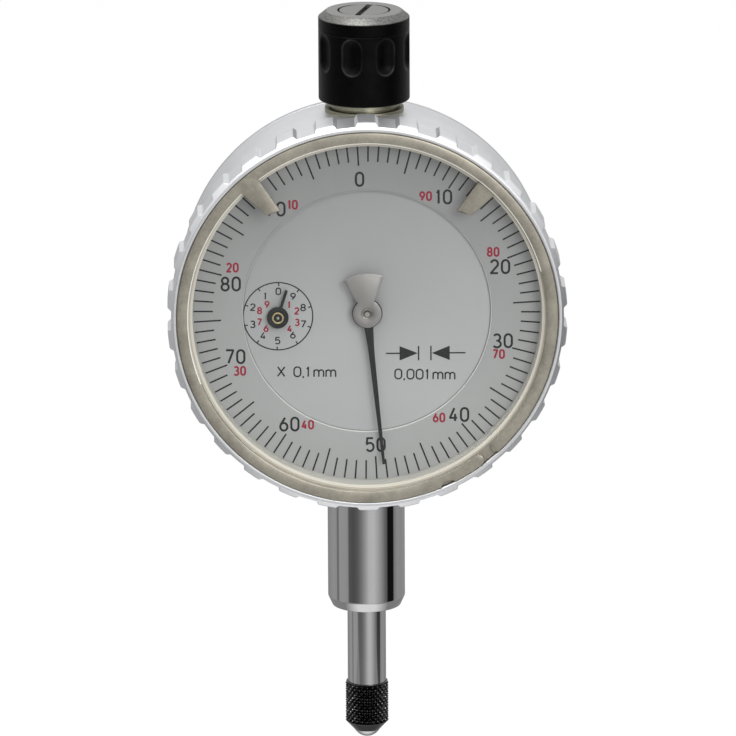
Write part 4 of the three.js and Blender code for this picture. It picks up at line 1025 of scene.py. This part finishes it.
def makeStem(v):
    line = [(v["bore"], v["end"]), (v["stem"] - 0.45, v["end"]), (v["stem"], v["end"] + 1.0)]
    line += [(v["stem"], -18.2), (v["bore"], -18.2)]
    line = softened(line, [0.08, 0.08, 0.12, 0, 0], 4)
    addPiece("clamp_stem", lathe(line, 128, "Z"), groundSteel, "case", ["stem"])
    bush = [(2.04, 17.6), (4.06, 17.6), (4.06, 19.0), (3.4, 19.0)]
    bush += [(3.4, 19.18), (3.7, 19.18), (3.7, 22.5), (2.04, 22.5)]
    bush = softened(bush, [0, 0, 0.08, 0, 0, 0.05, 0.1, 0], 4)
    addPiece("upper_bush", lathe(bush, 128, "Z"), bushNickel, "case", ["upper_guide_bush"])
    rod = [(0, v["plungerEnd"]), (v["plunger"], v["plungerEnd"])]
    rod += [(v["plunger"], v["plungerTop"]), (0, v["plungerTop"])]
    rod = softened(rod, [0, 0.06, 0.06, 0], 3)
    addPiece("ground_rod", lathe(rod, 96, "Z"), groundSteel, "plunger_unit", ["plunger"])


makeStem(shaft)

contact = {
    "top": -42.5,
    "grip": 4.27,
    "cone": 0.97,
    "radius": 2.28,
    "tip": 1.34,
    "ball": 1.5,
    "ballRise": 0.722,
    "around": 24,
    "pitch": 0.62,
    "depth": 0.34,
    "rubbedFrom": 2.1,
    "rubbed": (150, 150, 150),
}
knurlBlack = knurlMaterial("knurlBlack", contact)


def makeContact(v):
    low = v["top"] - v["grip"]
    bottom = low - v["cone"]
    wall = [(v["radius"], low + 0.08 + (v["grip"] - 0.2) * i / 56) for i in range(57)]
    tip = v["tip"]
    line = [(0, bottom + 0.35), (tip - 0.1, bottom + 0.35), (tip - 0.06, bottom), (tip, bottom + 0.04)]
    line += [(v["radius"] - 0.1, low - 0.02), (v["radius"] - 0.04, low + 0.03), *wall]
    line += [(v["radius"] - 0.12, v["top"]), (0, v["top"])]
    bm = lathe(line, v["around"] * 12, "Z")
    for vert in bm.verts:
        radius = math.hypot(vert.co.x, vert.co.y)
        if abs(radius - v["radius"]) > 0.005 or not low + 0.05 < vert.co.z < v["top"] - 0.05:
            continue
        turn = math.atan2(vert.co.y, vert.co.x) / math.tau * v["around"]
        climb = (vert.co.z - low) / v["pitch"]
        grooves = [abs((turn + s * climb) % 1.0 - 0.5) * 2 for s in (1, -1)]  # 1 in a groove, 0 on a ridge
        sink = v["depth"] * max(grooves)
        vert.co.x *= (radius - sink) / radius
        vert.co.y *= (radius - sink) / radius
    addPiece("knurled_contact", bm, knurlBlack, "plunger_unit", ["contact_holder"], 50)
    ball = bmesh.new()
    bmesh.ops.create_uvsphere(ball, u_segments=48, v_segments=32, radius=v["ball"])
    moved(ball, 0, 0, bottom + v["ballRise"])
    addPiece("hard_ball", ball, carbideMetal, "plunger_unit", ["contact_ball"])


makeContact(contact)
print("stem, plunger and contact made")


# Lifting cap: a fine spin whose eight finger dimples are pressed in, and its slotted plug
cap = {
    "radius": 4.68,
    "bottom": 19.8,
    "top": 29.079,
    "chamfer": 0.68,
    "chamferWidth": 0.82,
    "wellRadius": 3.85,
    "wellDepth": 4.05,
    "plug": 2.54,
    "plugGap": 0.18,
    "groove": 1.95,  # below the top
    "dimples": 8,
    "dimpleRadius": 1.6,
    "dimpleDepth": 0.5,
    "dimpleHeight": 3.95,
    "dimpleDrop": 4.1,
    "dimpleTurn": 28,
    "slotWidth": 0.62,
    "slotDepth": 0.5,
    "slotTurn": 75,
    "wearHalf": 1.06,  # where the wear runs round a dimple
    "wearStraight": 0.85,
    "black": ((12, 12, 12), (24, 24, 24)),
    "worn": (62, 62, 61),
    "grey": ((84, 84, 82), (140, 140, 137)),
    "flat": (146, 146, 144),
}
capBlack = capMaterial("capBlack", cap)


def makeCap(v):
    groove = v["top"] - v["groove"]
    rows = [v["bottom"] + 0.35 + (v["top"] - v["chamfer"] - v["bottom"] - 0.5) * i / 64 for i in range(65)]
    wall = [(v["radius"], z) for z in rows if abs(z - groove) > 0.12]
    deep = v["radius"] - 0.06
    wall += [(v["radius"], groove - 0.09), (deep, groove - 0.02)]
    wall += [(deep, groove + 0.02), (v["radius"], groove + 0.09)]
    wall.sort(key=lambda p: p[1])
    foot = [(v["wellRadius"], v["bottom"]), (v["radius"], v["bottom"]), (v["radius"], v["bottom"] + 0.36)]
    foot = softened(foot, [0, 0.3, 0], 5, False)
    shoulder, hole = v["top"] - v["chamfer"], v["plug"] + v["plugGap"]
    head = [(v["radius"], shoulder - 0.14), (v["radius"], shoulder)]
    head += [(v["radius"] - v["chamferWidth"], v["top"])]
    head += [(hole, v["top"]), (hole, v["top"] - 1.45)]
    head = softened(head, [0, 0.12, 0.14, 0.05, 0], 4, False)
    well = v["bottom"] + v["wellDepth"]
    inside = [(1.1, v["top"] - 1.45), (1.1, 26.5), (2.05, 26.5), (2.05, well), (v["wellRadius"], well)]
    bm = lathe(foot[:-1] + wall + head[1:] + inside, 45, "Z", sweep=math.tau / v["dimples"])
    reach = v["radius"] + v["dimpleRadius"] - v["dimpleDepth"]
    chord = math.sqrt(v["dimpleRadius"] ** 2 - (v["dimpleRadius"] - v["dimpleDepth"]) ** 2)
    straight = v["dimpleHeight"] / 2 - chord
    period = 360 / v["dimples"]
    for vert in bm.verts:
        radius = math.hypot(vert.co.x, vert.co.y)
        if radius < v["radius"] - 0.1:
            continue
        angle = math.degrees(math.atan2(vert.co.x, -vert.co.y)) - v["dimpleTurn"]
        off = math.radians((angle + period / 2) % period - period / 2)
        rise = max(0.0, abs(vert.co.z - (v["top"] - v["dimpleDrop"])) - straight)
        if rise >= v["dimpleRadius"]:
            continue
        ball = math.sqrt(v["dimpleRadius"] ** 2 - rise ** 2)
        inner = ball ** 2 - (reach * math.sin(off)) ** 2
        if inner <= 0:
            continue
        limit = reach * math.cos(off) - math.sqrt(inner)
        gap = radius - limit
        soft = 0.05  # rounds the dimple's rim
        sink = (gap + math.sqrt(gap * gap + soft * soft)) / 2 - soft * 0.12
        sink = max(0.0, sink) if gap > -soft else 0.0
        vert.co.x *= (radius - sink) / radius
        vert.co.y *= (radius - sink) / radius
    repeated(bm, v["dimples"], "Z")
    addPiece("dimpled_cap", bm, capBlack, "plunger_unit", ["lifting_cap"], 40)
    low, high = v["top"] - 1.5, v["top"] - 0.02
    plug = softened([(0, low), (v["plug"], low), (v["plug"], high), (0, high)], [0, 0, 0.1, 0], 4)
    disc = lathe(plug, 96, "Z")
    low, high = v["top"] - 5.1, v["top"] - 1.4
    joinedWith(disc, lathe([(0, low), (1, low), (1, high), (0, high)], 32, "Z"))
    slot = bmesh.new()
    bmesh.ops.create_cube(slot, size=1)
    bmesh.ops.scale(slot, verts=slot.verts, vec=(6.5, v["slotWidth"], 2 * v["slotDepth"]))
    moved(turnedBy(slot, v["slotTurn"], "Z"), 0, 0, v["top"])
    addPiece("slotted_plug", cut(disc, slot), capBlack, "plunger_unit", ["cap_plug"])


makeCap(cap)
print("cap made")


# The movement inside keeps its solids and gets its finishes
inside = {
    "bezel_retaining_wire": springSteel, "lower_guide_bush": brassMetal, "rack_sleeve": platedBrass,
    "stop_collar": springSteel, "guide_pin": arborSteel, "spring_collar": springSteel,
    "shock_spring": springSteel, "measuring_force_spring": springSteel, "front_plate": platedBrass,
    "middle_plate": platedBrass, "centre_jewel_front": rubyStone, "centre_jewel_rear": rubyStone,
    "rear_bridge": platedBrass, "rack_pinion": arborSteel, "rack_wheel": brassMetal,
    "counter_arbor": arborSteel, "counter_pinion": arborSteel, "counter_wheel": brassMetal,
    "pointer_arbor": arborSteel, "hairspring_wheel": brassMetal, "hairspring_arbor": arborSteel,
    "hairspring": springSteel, "hairspring_stud": platedBrass,
}
for n in range(1, 5):
    inside[f"plate_screw_{n}"] = screwSteel
for n in range(1, 4):
    inside[f"pillar_{n}"] = platedBrass
    inside[f"pillar_screw_{n}"] = screwSteel
for n in range(1, 3):
    inside[f"bridge_screw_{n}"] = screwSteel
for name, material in inside.items():
    nodes[name].data.materials.clear()
    nodes[name].data.materials.append(material)
print("movement finished")


# Studio: a pale floor far below the gauge, which is held by its stem, a soft world and two soft lamps
def makeFloor():
    bm = bmesh.new()
    bmesh.ops.create_grid(bm, x_segments=4, y_segments=4, size=0.5)
    bmesh.ops.scale(bm, verts=bm.verts, vec=(0.26, 0.9, 1))
    bmesh.ops.translate(bm, verts=bm.verts, vec=(0, 0.36, -0.082))
    mesh = bpy.data.meshes.new("floor")
    bm.to_mesh(mesh)
    bm.free()
    r = Recipe("floorPaper")
    fibre = r.grain(2, 3)
    path = r.node("LightPath")
    camera = Signal(r, path.socket.node.outputs["Is Camera Ray"])
    glossy = Signal(r, path.socket.node.outputs["Is Glossy Ray"])
    split = r.parts()
    x, y = (Signal(r, split.socket.node.outputs[i]) for i in range(2))
    ahead = y + 0.04
    away = (x * x + ahead * ahead) ** 0.5
    far = r.ramp(away * 5, [(0.14, 0.8), (0.3, 0.42), (0.38, 0.24)])  # the shiny parts see it fade away
    paper = r.blend(glossy, r.blend(fibre, (0.84, 0.84, 0.84, 1), (0.88, 0.88, 0.88, 1)), far)
    matt = r.node("BsdfDiffuse", {}, {"Color": paper})
    white = r.node("Emission", {}, {"Color": (1, 1, 1, 1), "Strength": 1.0})
    share = camera * 0.93
    mesh.materials.append(r.finish(r.node("MixShader", {}, {0: share, 1: matt, 2: white})))
    floor = bpy.data.objects.new("floor", mesh)
    scene.collection.objects.link(floor)


studio = {
    "above": 1.1,  # brightness of the soft sky overhead
    "below": 0.24,  # and of the table underneath, with this much of the bands' light on it
    "spill": 0.6,
    "bands": [  # degrees round the gauge from the front, + to the right, and how bright the room is there
        (-180, 0.42), (-147, 0.37), (-118, 0.48), (-103, 0.46), (-99, 0.24), (-94, 0.26),
        (-90, 0.5), (-66, 0.48), (-59, 0.44), (-55, 0.15), (-40, 0.12), (-27, 0.17),
        (-15, 0.31), (-3, 0.54), (7, 0.78), (21, 0.82), (33, 0.64), (46, 0.42),
        (58, 0.2), (64, 0.16), (66, 0.01), (88, 0.01), (90, 0.3), (94, 0.34),
        (107, 0.45), (130, 0.4), (180, 0.42),
    ],
}


def makeWorld(v):
    r = Recipe("studioWorld", world=True)
    split = r.node("SeparateXYZ", {}, {0: r.node("TexCoord", out=0)})
    x, y, z = (Signal(r, split.socket.node.outputs[i]) for i in range(3))
    turn = r.node("Math", {"operation": "ARCTAN2"}, {0: x, 1: y * -1})
    around01 = turn / math.tau + 0.5
    bands = r.ramp(around01, [((a + 180) / 360, b) for a, b in v["bands"]])
    height = r.ramp(z * 0.5 + 0.5, [(0.5, 0), (0.62, 0.5), (0.78, 1)])
    lower = r.ramp(z * 0.5 + 0.5, [(0.2, 1), (0.33, 0)])
    room = bands * (1 - height) + height * v["above"]
    room = room * (1 - lower) + lower * (bands * v["spill"] + v["below"])
    path = r.node("LightPath")
    camera = Signal(r, path.socket.node.outputs["Is Camera Ray"])
    soft = r.node("Background", {}, {"Color": r.blend(room, (0, 0, 0, 1), (1, 1, 1, 1)), "Strength": 1.0})
    white = r.node("Background", {}, {"Color": (1, 1, 1, 1), "Strength": 1.0})
    scene.world = r.finish(r.node("MixShader", {}, {0: camera, 1: soft, 2: white}))


def addLamp(name, place, aim, size, power):
    data = bpy.data.lights.new(name, "AREA")
    data.shape = "RECTANGLE"
    data.size, data.size_y = size
    data.energy = power
    lamp = bpy.data.objects.new(name, data)
    scene.collection.objects.link(lamp)
    lamp.location = place
    lamp.rotation_euler = (Vector(aim) - Vector(place)).to_track_quat("-Z", "Y").to_euler()


makeFloor()
makeWorld(studio)
addLamp("softTop", (-0.12, -0.18, 0.62), (0, 0, 0.02), (0.5, 0.5), 2.6)
addLamp("softFront", (0.3, -0.75, 0.35), (0, 0, 0.02), (0.35, 0.35), 2.2)
print("studio made")
